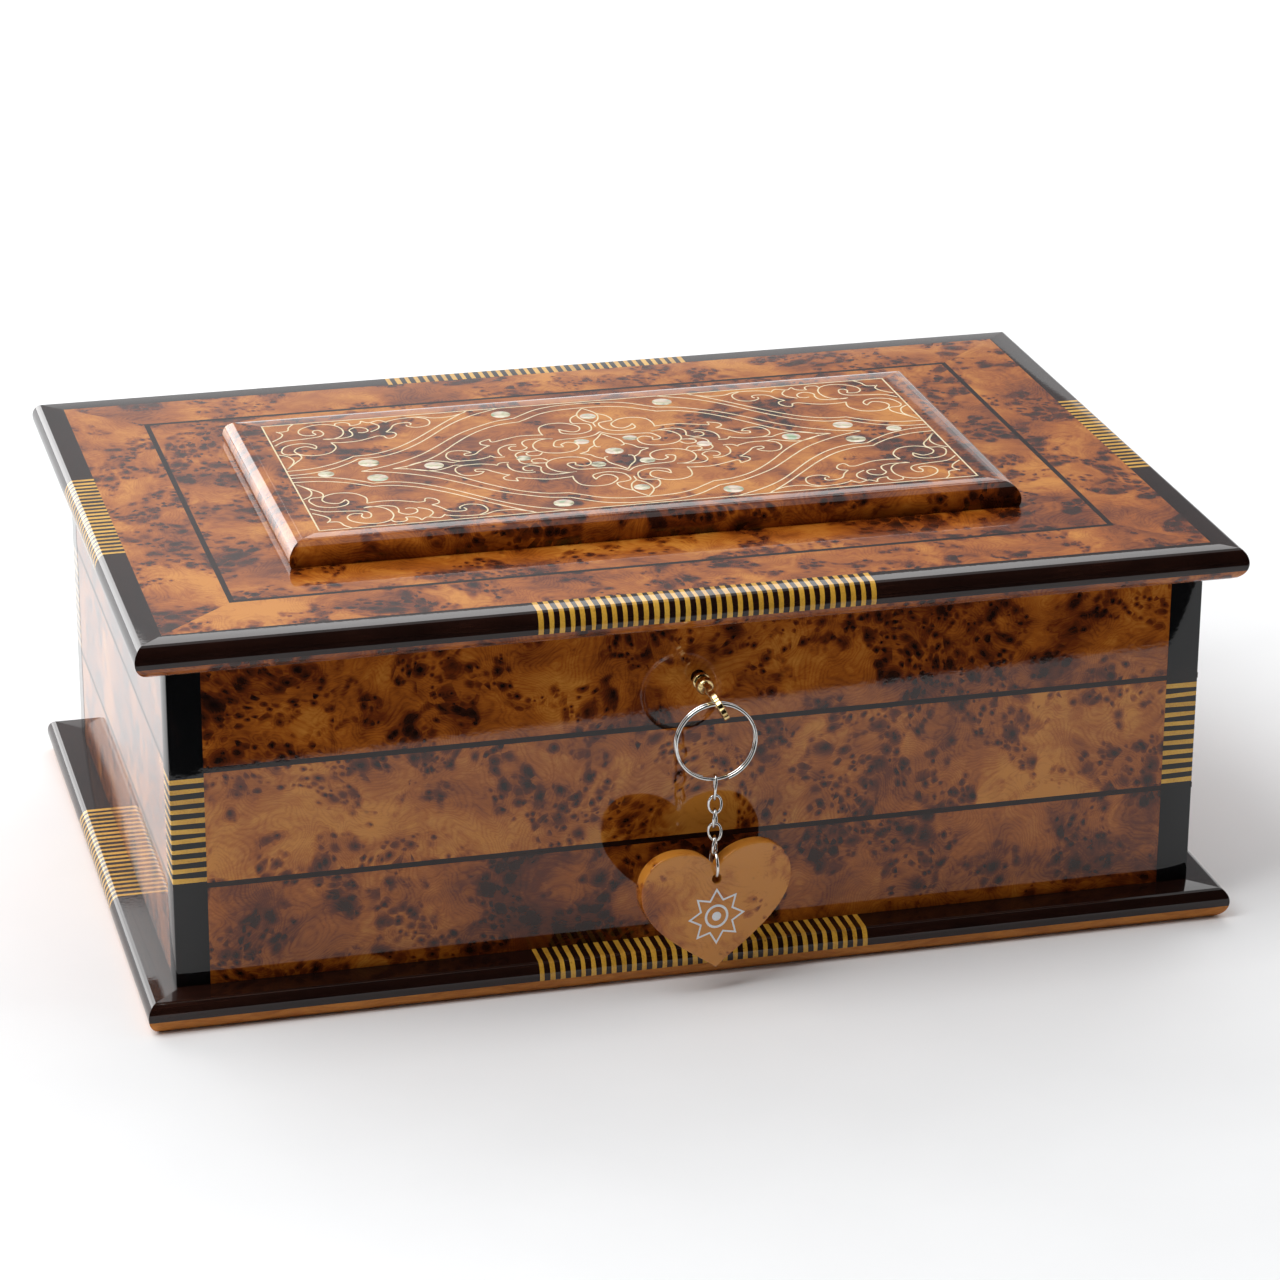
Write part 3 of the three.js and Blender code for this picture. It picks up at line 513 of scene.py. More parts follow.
def flat_plate(name, outlines, thick, bevel, place, body, material, nodes=(), resolution=3):
    """A plate cut to outlines, the first its edge and the others holes, with rounded arrises."""
    curve = bpy.data.curves.new(name, "CURVE")
    curve.dimensions = "2D"
    curve.fill_mode = "BOTH"
    curve.extrude = thick / 2 - bevel
    curve.bevel_depth = bevel
    curve.bevel_resolution = resolution
    curve.offset = -bevel
    for outline in outlines:
        spline = curve.splines.new("POLY")
        spline.points.add(len(outline) - 1)
        for point, (u, v) in zip(spline.points, outline):
            point.co = (u, v, 0, 1)
        spline.use_cyclic_u = True
    holder = bpy.data.objects.new(name + "_outline", curve)
    bpy.context.scene.collection.objects.link(holder)
    bpy.context.view_layer.update()
    mesh = bpy.data.meshes.new_from_object(holder.evaluated_get(bpy.context.evaluated_depsgraph_get()))
    bpy.data.objects.remove(holder)
    mesh.transform(place)
    points = [v.co.copy() for v in mesh.vertices]
    faces = [tuple(p.vertices) for p in mesh.polygons]
    bpy.data.meshes.remove(mesh)
    return piece(name, points, faces, body, [material], nodes, smooth=40)


# ---- Moulded edges --------------------------------------------------------------------------------


def nose_at(nose, z):
    """How far a rounded edge stands outside its flat top at height z."""
    upper = z >= nose["widest"]
    rise = nose["top"] - nose["widest"] if upper else nose["widest"] - nose["bottom"]
    run = nose["out"] if upper else nose["out"] - nose["under"]
    radius = (rise * rise + run * run) / (2 * run)
    drop = z - nose["widest"]
    return nose["out"] - (radius - math.sqrt(radius * radius - drop * drop))


def nose_curve(nose, z0, z1, steps, ease=0.35 * MM):
    """The rounded edge's outline from z0 up to z1, with the arris at its top eased a little."""
    heights = [z0 + (z1 - z0) * i / steps for i in range(steps + 1)]
    curve = [(nose_at(nose, z), z) for z in heights]
    if abs(z1 - nose["top"]) < 1e-6:
        x, z = curve.pop()
        curve.append((nose_at(nose, z - ease), z - ease))
        curve.append((x + ease * 0.06, z - ease * 0.42))
        curve.append((x - ease * 0.38, z - ease * 0.08))
        curve.append((x - ease, z))
    return curve


# Each rounded edge: its heights, and how far its widest line and its bottom lie outside its flat top.
LID_NOSE = {"top": LID_TOP, "widest": 104.6 * MM, "bottom": LID_UNDERSIDE, "out": NOSE, "under": -1.5 * MM}
PLINTH_NOSE = {"top": PLINTH_TOP, "widest": 4.9 * MM, "bottom": 0.0, "out": NOSE, "under": -0.6 * MM}
RAISED_NOSE = {"top": PANEL_TOP, "widest": 110.6 * MM, "bottom": LID_TOP, "out": PANEL_NOSE,
               "under": 3.8 * MM}

SIDES = [("front", 0, FLAT_X, FLAT_Y, LONG_RUN), ("right", 1, FLAT_Y, FLAT_X, SIDE_RUN),
         ("back", 2, FLAT_X, FLAT_Y, LONG_RUN), ("left", 3, FLAT_Y, FLAT_X, SIDE_RUN)]


def turn_to_side(along, across, turns):
    return [(-along, -across), (across, -along), (along, across), (-across, along)][turns]


def side_ring(profile, flat_across, place, turns, mitre=0.0, lean=0.0, inner_ratio=1.0):
    """One section of an edging at a place along its side. A mitred end slants with the profile."""
    ring = []
    middle = sum(z for _, z in profile) / len(profile)
    for out, z in profile:
        slant = mitre * out * (inner_ratio if out < 0 else 1.0) + lean * (z - middle)
        x, y = turn_to_side(place + slant, flat_across + out, turns)
        ring.append((x, y, z))
    return ring


def strip_joints(run, wander):
    """The joints between the strips of a run: how far along each is, and how much it leans."""
    count = round(run / STRIPE_PITCH * 2)
    joints = [(0.0, 0.0)]
    for i in range(1, count):
        thinner_yellow = YELLOW_LOSS * (1 if i % 2 == 0 else -1)
        shift = (random.uniform(-wander, wander) + thinner_yellow) * STRIPE_PITCH
        joints.append((run * i / count + shift, random.uniform(-wander, wander)))
    return joints + [(run, 0.0)]


def strips(name, rings, body, black, nodes):
    """Yellow and black strips by turns, one from each ring to the next, as one shell."""
    points, faces = loft(rings)
    size = len(rings[0])
    tints = [(i // size) % 2 for i in range((len(rings) - 1) * size)] + [0, 0]
    piece(name, points, faces, body, [LEMONWOOD, black], nodes, tints)


def edging(prefix, nose, z0, z1, band, body):
    """Black edging in two mitred lengths on each side, with a striped run between them."""
    profile = [(-band, z0), *nose_curve(nose, z0, z1, 14), (-band, z1)]
    for name, turns, along, across, run in SIDES:
        half = run / 2
        halves = [loft([side_ring(profile, across, -along, turns, mitre=-1.0),
                        side_ring(profile, across, -half, turns)]),
                  loft([side_ring(profile, across, half, turns),
                        side_ring(profile, across, along, turns, mitre=1.0)])]
        wood = EBONY["X" if turns in (0, 2) else "Y"]
        points, faces = merge(halves)
        piece(f"{prefix}_edge_{name}", points, faces, body, [wood], [f"{prefix}_edging_{name}"])
        rings = [side_ring(profile, across, place - run / 2, turns, lean=lean)
                 for place, lean in strip_joints(run, 0.04)]
        strips(f"{prefix}_strips_{name}", rings, body, EBONY["Y"], [f"{prefix}_stripes_{name}"])


def moulded_slab(flat_x, flat_y, curve):
    """A rectangular slab whose four sides follow a curve of (outward, z) points."""
    rings = []
    for out, z in curve:
        rings.append([(x, y, z) for x, y in rectangle(flat_x + out, flat_y + out)])
    return loft(rings)


# ---- Materials in use -----------------------------------------------------------------------------

WARM_BLACK, BROWN_BLACK = (0.0055, 0.0024, 0.0019), (0.0155, 0.0052, 0.0034)
COLD_BLACK, GREY_BLACK = (0.0016, 0.0019, 0.0023), (0.0034, 0.0036, 0.0040)
EBONY = {axis: ebony("ebonised_wood_" + axis.lower(), axis, WARM_BLACK, BROWN_BLACK) for axis in "XY"}
EBONY["Z"] = ebony("ebonised_wood_z", "Z", COLD_BLACK, GREY_BLACK)
LEMONWOOD = lemonwood("lemonwood")
BRASS = metal("polished_brass", (0.86, 0.66, 0.32), (0.52, 0.35, 0.13), 0.26)
NICKEL = metal("bright_nickel", (0.80, 0.80, 0.78), (0.55, 0.54, 0.50), 0.16)
PEARL = pearl("mother_of_pearl")
WIRE = pale_wire("pale_wire")
PRINT = silver_print("silver_print")
PLINTH_PLAIN = plain_wood("plain_plinth_wood", (0.62, 0.245, 0.052), (0.33, 0.105, 0.022),
                          (0.08, 1.0, 1.0))
INSIDE = plain_wood("inside_wood", (0.34, 0.15, 0.06), (0.17, 0.065, 0.025), (0.1, 1.0, 1.0), gloss=0.15)


def paint(node, material):
    """A CAD node keeps its shape and takes a material."""
    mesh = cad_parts[node].data
    mesh.materials.clear()
    mesh.materials.append(material)


# ---- Plinth and body ------------------------------------------------------------------------------


def make_plinth():
    steps = 6
    heights = [PLINTH_WOOD * i / steps for i in range(steps + 1)]
    curve = [(nose_at(PLINTH_NOSE, z), z) for z in heights]
    points, faces = moulded_slab(FLAT_X, FLAT_Y, curve)
    piece("plinth_wood", points, faces, "case", [PLINTH_PLAIN], ["plinth_board"])
    edging("plinth", PLINTH_NOSE, PLINTH_WOOD, PLINTH_TOP, PLINTH_BAND, "case")
    paint("floor_board", INSIDE)


def post_section(side_x, side_y, x0, x1, y0, y1, ease=0.5 * MM):
    """A post's square section, with its outer arris eased."""
    outline = [(x0, y0), (x1, y0), (x1, y1 - ease), (x1 - ease * 0.3, y1 - ease * 0.3), (x1 - ease, y1),
               (x0, y1)]
    return [(side_x * x, side_y * y) for x, y in outline]


def make_posts():
    proud = 0.03 * MM
    x0, x1 = POST_LOW.x, POST_HIGH.x + proud
    y0, y1 = -POST_HIGH.y, -POST_LOW.y + proud
    middle = (x0 + x1) / 2
    for side_y, depth_name in ((-1, "front"), (1, "back")):
        for side_x, width_name in ((-1, "left"), (1, "right")):
            corner = f"{depth_name}_{width_name}"
            section = post_section(side_x, side_y, x0, x1, y0, y1)
            points, faces = merge([prism(section, POST_LOW.z, RUN_LOW.z),
                                   prism(section, RUN_HIGH.z, POST_HIGH.z)])
            piece(f"post_{corner}", points, faces, "case", [EBONY["Z"]], [f"corner_post_{corner}"])
            rings = [[(x, y, RUN_LOW.z + rise + lean * (abs(x) - middle)) for x, y in section]
                     for rise, lean in strip_joints(RUN_HIGH.z - RUN_LOW.z, 0.03)]
            strips(f"post_strips_{corner}", rings, "case", EBONY["Z"], [f"post_stripes_{corner}"])


# For each wall: where in the burl its veneer is cut, how dark it is, and how much darker each sheet above
# a string is than the one below. On the front these steps are partly painted light: its middle sheet is
# lighter than those above and below it as a painted pale reflection, and its lowest sheet is darkest as
# painted shade. On the other walls they are the sheets' own differences in tone.
WALL_LOOKS = {"front": ((40.0, 0.0, 210.0), 0.17, (-0.29, 0.20)),
              "back": ((-300.0, 60.0, 20.0), 0.12, (-0.1, 0.1)),
              "left": ((0.0, 500.0, 90.0), 0.10, (-0.05, 0.05)),
              "right": ((700.0, -90.0, 33.0), 0.10, (-0.05, 0.1))}


def make_walls():
    strings = ("string_lower", "string_upper")
    heights = [(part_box(name)[0].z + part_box(name)[1].z) / 2 for name in strings]
    for name, (offset, dark, darker) in WALL_LOOKS.items():
        bands = list(zip(heights, darker))
        paint(f"veneer_{name}", burl(f"burl_{name}", offset, 0.0, dark, 0.7, bands))
        paint(f"wall_{name}", INSIDE)
    for name in strings:
        paint(name, EBONY["X"])


# ---- Lid ------------------------------------------------------------------------------------------


def by_side(turns, x, y):
    """The sizes along and across a side, from the sizes along X and Y."""
    return (x, y) if turns % 2 == 0 else (y, x)


def make_lid():
    paint("lid_board", burl("burl_lid_edge", (120.0, 340.0, 0.0), 0.0, 0.12, 0.5))
    edging("lid", LID_NOSE, LID_WOOD_TOP, LID_TOP, BAND, "lid")
    paint("lid_string", EBONY["X"])
    paint("lid_field_veneer", burl("burl_lid_field", (-40.0, 90.0, 400.0), 0.35, 0.0, 0.7))
    offsets = [(-210.0, 45.0, 0.0), (60.0, 310.0, 0.0), (15.0, -420.0, 0.0), (330.0, 120.0, 0.0)]
    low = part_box("lid_border_veneer")[0].z
    for (name, turns, *_), offset in zip(SIDES, offsets):
        a, b = by_side(turns, STRING_HIGH.x, STRING_HIGH.y)
        c, d = by_side(turns, FIELD_HIGH.x, FIELD_HIGH.y)
        corners = ((-a, b), (a, b), (c, d), (-c, d))
        outline = [turn_to_side(along, across, turns) for along, across in corners]
        points, faces = prism(outline, low, LID_TOP)
        veneer = burl(f"burl_border_{name}", offset, QUARTER_TURN if turns % 2 else 0.0, 0.0, 0.55)
        nodes = ["lid_border_veneer"] if turns == 0 else []
        piece(f"border_veneer_{name}", points, faces, "lid", [veneer], nodes)


def make_raised_panel():
    """The panel: a burl field inside the wire frame, and round it a moulding mitred at the corners."""
    points, faces = prism(rectangle(INLAY_X, INLAY_Y), SHEET_LOW.z - 2.0 * MM, PANEL_TOP)
    veneer = burl("burl_panel", (25.0, -15.0, 77.0), 0.2, 0.03, 0.25, contrast=1.2)
    piece("marquetry_field", points, faces, "lid", [veneer], ["marquetry_sheet"])
    # Each moulding's place in the burl and how dark it is: front, right, back, left. The front one's extra
    # darkness is painted shade, for the shade on its nose.
    moulding_looks_with_painted_shade = [((-80.0, 15.0, 60.0), 0.15), ((500.0, 60.0, 0.0), 0.05), ((80.0, -700.0, 0.0), 0.05),
             ((-510.0, 95.0, 0.0), 0.0)]
    for (name, turns, *_), (offset, dark) in zip(SIDES, moulding_looks_with_painted_shade):
        along, across = by_side(turns, PANEL_FLAT_X, PANEL_FLAT_Y)
        other, margin = by_side(turns, PANEL_FLAT_X - INLAY_X, PANEL_FLAT_Y - INLAY_Y)
        profile = [(-margin, LID_TOP), *nose_curve(RAISED_NOSE, LID_TOP, PANEL_TOP, 16, 0.25 * MM),
                   (-margin, PANEL_TOP)]
        rings = [side_ring(profile, across, end * along, turns, mitre=end, inner_ratio=other / margin)
                 for end in (-1.0, 1.0)]
        points, faces = loft(rings)
        veneer = burl(f"burl_moulding_{name}", offset, QUARTER_TURN if turns % 2 else 0.0, dark, 0.8)
        nodes = ["raised_panel"] if turns == 0 else []
        piece(f"panel_moulding_{name}", points, faces, "lid", [veneer], nodes)


# ---- Marquetry ------------------------------------------------------------------------------------

# Lines of one quarter of the pattern, in millimetres from the panel's middle. Each runs smoothly
# through its points, and a new line starts at a cusp.
BAND_LINES = [
    [(91.9, 4.7), (84.8, 5.3), (78.5, 7.7), (74.1, 10.6), (71.5, 12.8)],
    [(71.5, 12.8), (65.8, 13.3), (59.5, 16.3), (53.2, 21.6), (46.8, 28.6), (41.8, 34.3), (37.3, 39.1),
     (32.5, 43.8)],
    [(91.9, 1.2), (86.1, 1.5), (79.8, 3.6), (74.7, 6.8), (70.6, 10.3)],
    [(70.6, 10.3), (64.6, 10.6), (58.2, 13.7), (51.9, 19.1), (46.8, 24.8), (41.8, 30.8), (36.7, 35.9),
     (31.0, 40.0), (23.5, 43.8)],
    [(71.8, 0), (65.8, 2.0), (59.5, 5.2), (53.2, 9.6), (48.1, 14.7), (43.0, 20.4), (38.0, 25.4),
     (31.6, 29.9), (26.6, 32.7), (20.9, 34.2)],
    [(20.9, 34.2), (17.7, 36.8), (13.3, 40.0), (7.6, 41.9), (0, 42.5)],
    [(63.0, 0), (58.2, 1.4), (51.9, 5.2), (46.8, 10.3), (41.8, 16.6), (36.7, 22.3), (31.6, 26.7),
     (26.0, 29.6), (20.3, 30.6)],
    [(20.3, 30.6), (17.1, 33.0), (12.7, 36.2), (7.0, 38.1), (0, 38.6)],
]
CORNER_LINES = [
    [(91.2, 6.5), (89.2, 10.0), (88.3, 13.1), (89.2, 16.6), (91.5, 18.8)],
    [(91.2, 6.5), (88.3, 10.9), (85.8, 14.7), (86.1, 17.8), (88.9, 18.2), (90.1, 19.5), (90.1, 21.8),
     (88.4, 25.3), (84.6, 26.8), (81.4, 25.9), (80.0, 23.6), (80.5, 21.4)],
    [(80.5, 21.4), (81.6, 23.0), (83.0, 24.0), (85.6, 22.9), (86.7, 20.4), (85.2, 17.3), (81.8, 15.9),
     (77.6, 16.9), (75.1, 20.3), (74.8, 22.9), (75.4, 25.6)],
    [(75.4, 25.6), (72.0, 25.0), (67.5, 25.4), (63.8, 27.1), (61.6, 28.2), (59.9, 27.8)],
    [(59.9, 27.8), (59.2, 25.6), (57.4, 26.1), (56.2, 28.3), (56.7, 30.2), (58.6, 31.0)],
    [(58.6, 31.0), (56.8, 33.4), (55.5, 36.2), (53.6, 37.5), (51.1, 37.6), (50.3, 36.5), (50.8, 35.3)],
    [(51.8, 35.7), (51.6, 34.3), (49.2, 32.9), (46.0, 34.0), (44.8, 36.9), (45.4, 39.8), (47.9, 41.7)],
    [(91.2, 26.4), (87.8, 29.6), (82.0, 30.5), (77.6, 31.5), (76.0, 33.7), (76.6, 36.6), (78.2, 36.9),
     (78.8, 35.3), (78.3, 33.4), (81.0, 33.1), (82.7, 35.3), (82.0, 38.5), (78.9, 41.0), (75.1, 41.7),
     (71.9, 40.1), (70.3, 36.6), (70.6, 32.5), (72.5, 29.6), (75.4, 28.5), (77.0, 29.1)],
    [(77.0, 29.1), (71.9, 28.6), (68.7, 29.9), (68.1, 32.5), (68.4, 35.0), (66.2, 36.9), (63.7, 35.6),
     (63.4, 33.1), (65.0, 32.0), (66.3, 32.4)],
    [(62.8, 32.2), (60.2, 34.4), (59.6, 37.2), (61.2, 39.8)],
    [(91.2, 30.2), (88.4, 33.1), (87.4, 35.9), (88.7, 38.2)],
    [(88.0, 37.8), (85.5, 38.4), (84.6, 41.3), (83.0, 43.6)],
    [(71.6, 40.1), (71.0, 41.7), (68.7, 42.0), (67.4, 40.7), (67.5, 38.8)],
    [(67.5, 38.8), (65.6, 39.1), (64.3, 40.1), (63.7, 42.0)],
    [(63.7, 42.0), (61.8, 40.1), (58.7, 41.4), (56.8, 39.2)],
    [(56.8, 39.8), (53.0, 41.4), (46.6, 41.7), (42.8, 39.8), (37.7, 40.1), (33.3, 42.7)],
]
MEDALLION_LINES = [
    [(59.4, 0.6), (56.0, 3.0), (51.9, 4.1), (47.9, 2.5), (45.9, 1.2), (43.4, 1.8), (39.0, 1.8), (35.2, 3.3),
     (34.6, 4.3)],
    [(34.6, 4.3), (33.3, 2.4), (30.8, 2.4)],
    [(43.4, 1.8), (45.9, 3.4), (46.6, 6.5), (45.3, 9.7), (42.8, 10.6), (40.3, 9.7), (39.1, 8.1)],
    [(39.1, 8.1), (41.2, 7.5), (40.9, 5.9), (38.4, 6.5), (36.5, 9.0), (33.9, 11.9), (32.8, 12.5)],
    [(32.8, 12.5), (34.9, 14.1), (34.6, 16.3), (31.7, 18.0)],
    [(31.7, 18.0), (31.4, 15.4), (27.6, 16.9), (22.5, 18.6), (16.2, 18.0)],
    [(16.3, 17.6), (16.5, 21.0), (15.6, 24.8), (12.4, 26.9), (8.6, 26.7), (6.1, 24.8), (4.7, 22.3),
     (5.4, 19.5), (7.3, 18.5), (9.6, 20.1), (10.7, 21.7)],
    [(10.7, 21.7), (10.8, 18.5), (8.6, 16.9), (5.4, 16.6), (2.3, 18.5), (1.3, 21.7), (1.6, 24.2),
     (3.5, 25.2), (5.7, 25.8), (5.8, 28.3), (4.8, 30.8), (2.9, 32.7)],
    [(0, 38.1), (2.3, 34.3), (2.9, 31.2), (2.0, 27.4), (0, 24.8)],
    [(0, 21.6), (0, 24.8)],
    [(0, 16.9), (2.3, 14.4), (6.1, 13.1), (12.4, 12.8), (14.3, 11.5), (15.4, 8.4), (14.9, 7.1),
     (13.0, 6.8), (13.3, 8.7)],
    [(13.3, 8.7), (11.1, 10.3), (8.9, 8.7), (8.9, 5.2), (11.1, 2.7), (14.9, 1.9), (18.7, 3.0), (20.9, 5.8),
     (21.1, 9.6), (19.4, 12.8), (16.8, 14.4), (14.3, 14.1)],
    [(14.3, 14.1), (18.7, 15.0), (21.9, 14.7), (23.5, 12.8), (23.5, 10.2), (23.1, 8.3), (25.1, 6.5),
     (27.6, 7.1), (28.1, 9.3), (26.9, 10.6), (25.7, 10.2)],
    [(25.4, 11.8), (27.9, 11.8), (30.7, 9.6), (31.7, 6.5), (31.4, 3.3)],
    [(20.9, 5.2), (22.8, 4.9), (24.4, 3.6), (23.8, 1.7), (21.3, 1.4), (19.9, 3.3)],
    [(22.8, 5.1), (25.7, 5.2), (27.6, 3.3), (27.6, 0.8)],
    [(9.9, 0), (7.4, 1.4), (6.1, 3.9), (4.2, 5.8)],
    [(4.2, 5.8), (3.9, 4.6), (2.9, 4.2)],
    [(4.2, 5.8), (3.6, 9.3), (1.7, 12.2), (0, 15.4)],
]

# Pearl discs of one quarter: x, y and diameter in millimetres.
QUARTER_DISCS = [(0, 0, 5.3), (26.0, 0, 4.3), (51.4, 0, 5.4), (81.7, 0, 4.5), (0, 30.8, 4.6),
                 (7.0, 9.8, 4.3), (68.5, 6.3, 5.8), (23.8, 38.2, 5.8)]
QUARTERS = [(1, 1), (-1, 1), (-1, -1), (1, -1)]


def wire_along(points):
    """A flat inlaid wire with a slightly domed top."""
    line = smooth_line(points, 4) if len(points) > 2 else [Vector(p) for p in points]
    half = WIRE_WIDTH / 2
    rings = []
    for i, here in enumerate(line):
        tangent = (line[min(i + 1, len(line) - 1)] - line[max(i - 1, 0)]).normalized()
        side = Vector((-tangent.y, tangent.x)) * half
        top = PANEL_TOP + WIRE_PROUD
        low = PANEL_TOP - 0.2 * MM
        ring = [(here - side, low), (here - side, top - WIRE_PROUD * 0.4), (here - side * 0.5, top),
                (here + side * 0.5, top), (here + side, top - WIRE_PROUD * 0.4), (here + side, low)]
        rings.append([(p.x, p.y, z) for p, z in ring])
    return loft(rings)


def make_wires():
    parts = []
    for line in BAND_LINES + CORNER_LINES + MEDALLION_LINES:
        on_axis = all(x == 0 for x, _ in line)
        for sx, sy in QUARTERS:
            if not (on_axis and sx < 0):
                parts.append(wire_along([(x * sx * MM, y * sy * MM) for x, y in line]))
    x, y = INLAY_X, INLAY_Y
    over = x + WIRE_WIDTH / 2
    for side in (-1, 1):
        parts.append(wire_along([(-over, side * y), (over, side * y)]))
        parts.append(wire_along([(side * x, -y), (side * x, y)]))
    points, faces = merge(parts)
    piece("inlay_wire", points, faces, "lid", [WIRE], smooth=50)


def pearl_disc(cx, cy, diameter):
    """A hand-cut disc: a little off its size and a little oval, with an eased arris."""
    sides = 40
    radius = diameter / 2 * random.uniform(0.96, 1.03)
    wobble = random.uniform(0, 6.28)
    rings = []
    for scale, rise in ((1.0, -0.3 * MM), (1.0, 0.02 * MM), (0.97, 0.04 * MM)):
        ring = []
        for k in range(sides):
            angle = 2 * math.pi * k / sides
            r = radius * scale * (1 + 0.012 * math.sin(2 * angle + wobble))
            ring.append((cx + r * math.cos(angle), cy + r * math.sin(angle), PANEL_TOP + rise))
        rings.append(ring)
    return loft(rings)


def make_discs():
    discs = []
    for x, y, diameter in QUARTER_DISCS:
        for sx, sy in QUARTERS:
            if (x or sx > 0) and (y or sy > 0):
                discs.append(pearl_disc(x * sx * MM, y * sy * MM, diameter * MM))
    points, faces = merge(discs)
    piece("pearl_discs", points, faces, "lid", [PEARL], smooth=50)


# ---- Hardware -------------------------------------------------------------------------------------


def lathe(profile, sides=40):
    """A closed turned piece about Y, from (radius, y) points that start and end on the axis."""
    return loft([[(x, y, z) for x, z in circle(0, 0, max(radius, 1e-6), sides)] for radius, y in profile])


def cut_slot(work, centre, across, up):
    """Sinks the strip of the face round centre that lies between the two cuts, and narrows it a little."""
    floor = [f for f in work.faces if all(abs(v.co.z - centre.z) < 1e-7 for v in f.verts)
             and abs((f.calc_center_median() - centre).dot(across)) < SLOT_HALF]
    sunk = bmesh.ops.extrude_face_region(work, geom=floor)
    bmesh.ops.delete(work, geom=floor, context="FACES_ONLY")
    for vert in (g for g in sunk["geom"] if isinstance(g, bmesh.types.BMVert)):
        vert.co.z -= up * SLOT_DEPTH
        vert.co.xy = centre.xy + (vert.co.xy - centre.xy) * 0.92


def hinge_screw(x, y, z, up):
    """A countersunk head with a straight slot, its flat face a little inside the leaf's."""
    rings = [[(u, v, z - up * depth) for u, v in circle(x, y, radius, 32)]
             for radius, depth in ((SCREW_CORE, SCREW_DEPTH), (SCREW_HEAD, SCREW_SET))]
    points, faces = loft(rings)
    work = bmesh.new()
    corners = [work.verts.new(p) for p in points]
    for face in faces:
        work.faces.new([corners[i] for i in face])
    turn = random.uniform(0, math.pi)
    across = Vector((-math.sin(turn), math.cos(turn), 0))
    for side in (-1, 1):
        place = Vector((x, y, z)) + across * SLOT_HALF * side
        bmesh.ops.bisect_plane(work, geom=work.verts[:] + work.edges[:] + work.faces[:], plane_co=place,
                               plane_no=across)
    cut_slot(work, Vector((x, y, z - up * SCREW_SET)), across, up)
    work.verts.index_update()
    points = [v.co.copy() for v in work.verts]
    faces = [tuple(v.index for v in f.verts) for f in work.faces]
    work.free()
    return points, faces


def make_hinges_and_lock():
    body_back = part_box("veneer_back")[1].y
    for side in ("left", "right"):
        for name in (f"hinge_leaf_body_{side}", f"hinge_leaf_lid_{side}", f"hinge_pin_{side}"):
            paint(name, BRASS)
        for on, body, up in (("body", "case", 1), ("lid", "lid", -1)):
            low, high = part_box(f"hinge_leaf_{on}_{side}")
            face = LID_UNDERSIDE - up * HINGE_LEAF_SET
            middle = (low.y + body_back - HINGE_LEAF_END) / 2
            screws = [hinge_screw((low.x + high.x) / 2 + place, middle, face, up)
                      for place in (-HINGE_SCREW_X, HINGE_SCREW_X)]
            points, faces = merge(screws)
            piece(f"hinge_screws_{on}_{side}", points, faces, body, [BRASS], smooth=30)
    for name in ("lock_case", "lock_bolt", "strike_plate"):
        paint(name, BRASS)


# The key's turned collars and neck: radius, and place along the key, in millimetres.
KEY_COLLARS = [(1.4, -92.4), (2.3, -92.7), (2.5, -93.2), (2.2, -93.8), (1.5, -94.2), (2.1, -94.9),
               (2.5, -96.2), (2.2, -97.5), (1.4, -98.4), (1.0, -99.2)]


def bow_outlines():
    """The key's scalloped oval, a large eye in its middle, and six smaller ones, three on each side."""
    steps = 120
    edge = []
    for k in range(steps):
        angle = 2 * math.pi * k / steps
        scallop = 1 - 0.06 * (1 - abs(math.cos(angle * 6)))
        edge.append((8.3 * MM * scallop * math.cos(angle), 4.8 * MM * scallop * math.sin(angle)))
    outlines = [edge, circle(0, 0, 2.55 * MM, 28)]
    for side in (-1, 1):
        outlines.append(circle(side * 5.2 * MM, 0, 0.95 * MM, 28))
        for up in (-1, 1):
            outlines.append(circle(side * 3.75 * MM, up * 2.35 * MM, 0.6 * MM, 20))
            outlines.append(circle(side * 6.5 * MM, up * 1.15 * MM, 0.42 * MM, 16))
    return outlines


def make_key():
    profile = [(0, -82.6), (1.2, -82.6), (1.4, -82.9), *smooth_line(KEY_COLLARS), (0.9, -100.4),
               (0, -100.4)]
    shank = lathe([(radius * MM, y * MM) for radius, y in profile])
    x, y0, y1 = 0.7 * MM, -85.6 * MM, -83.0 * MM
    bit = prism([(-x, y0), (x, y0), (x, y1), (-x, y1)], -5 * MM, -1 * MM)
    points, faces = merge([shank, bit])
    place = Matrix.Translation((0, 0, KEY_Z)) @ Matrix.Rotation(KEY_TILT, 4, "Y")
    piece("key_shank", turned(points, place), faces, "key", [BRASS], ["key"])
    # The bow's outline has its X along the key, its Y up, and its thickness across.
    upright = Matrix(((0, 0, 1, 0), (1, 0, 0, BOW_Y), (0, 1, 0, 0), (0, 0, 0, 1)))
    flat_plate("key_bow", bow_outlines(), 1.5 * MM, 0.2 * MM, place @ upright, "key", BRASS)


def make_keyring():
    """A double-turn ring: one wire wound nearly twice round."""
    radius = (RING_HIGH.z - RING_LOW.z) / 2 - RING_WIRE
    centre = (RING_HIGH.z + RING_LOW.z) / 2
    turns, start, pitch, steps = 1.9, 0.8, 1.06 * MM, 190
    path = []
    for i in range(steps + 1):
        t = turns * i / steps
        angle = 2 * math.pi * (t + start)
        path.append(Vector((radius * math.cos(angle), BOW_Y + (t - turns / 2) * pitch,
                            centre + radius * math.sin(angle))))
    points, faces = tube(path, RING_WIRE, 14)
    piece("keyring", points, faces, "ring", [NICKEL], ["split_ring"], smooth=50)


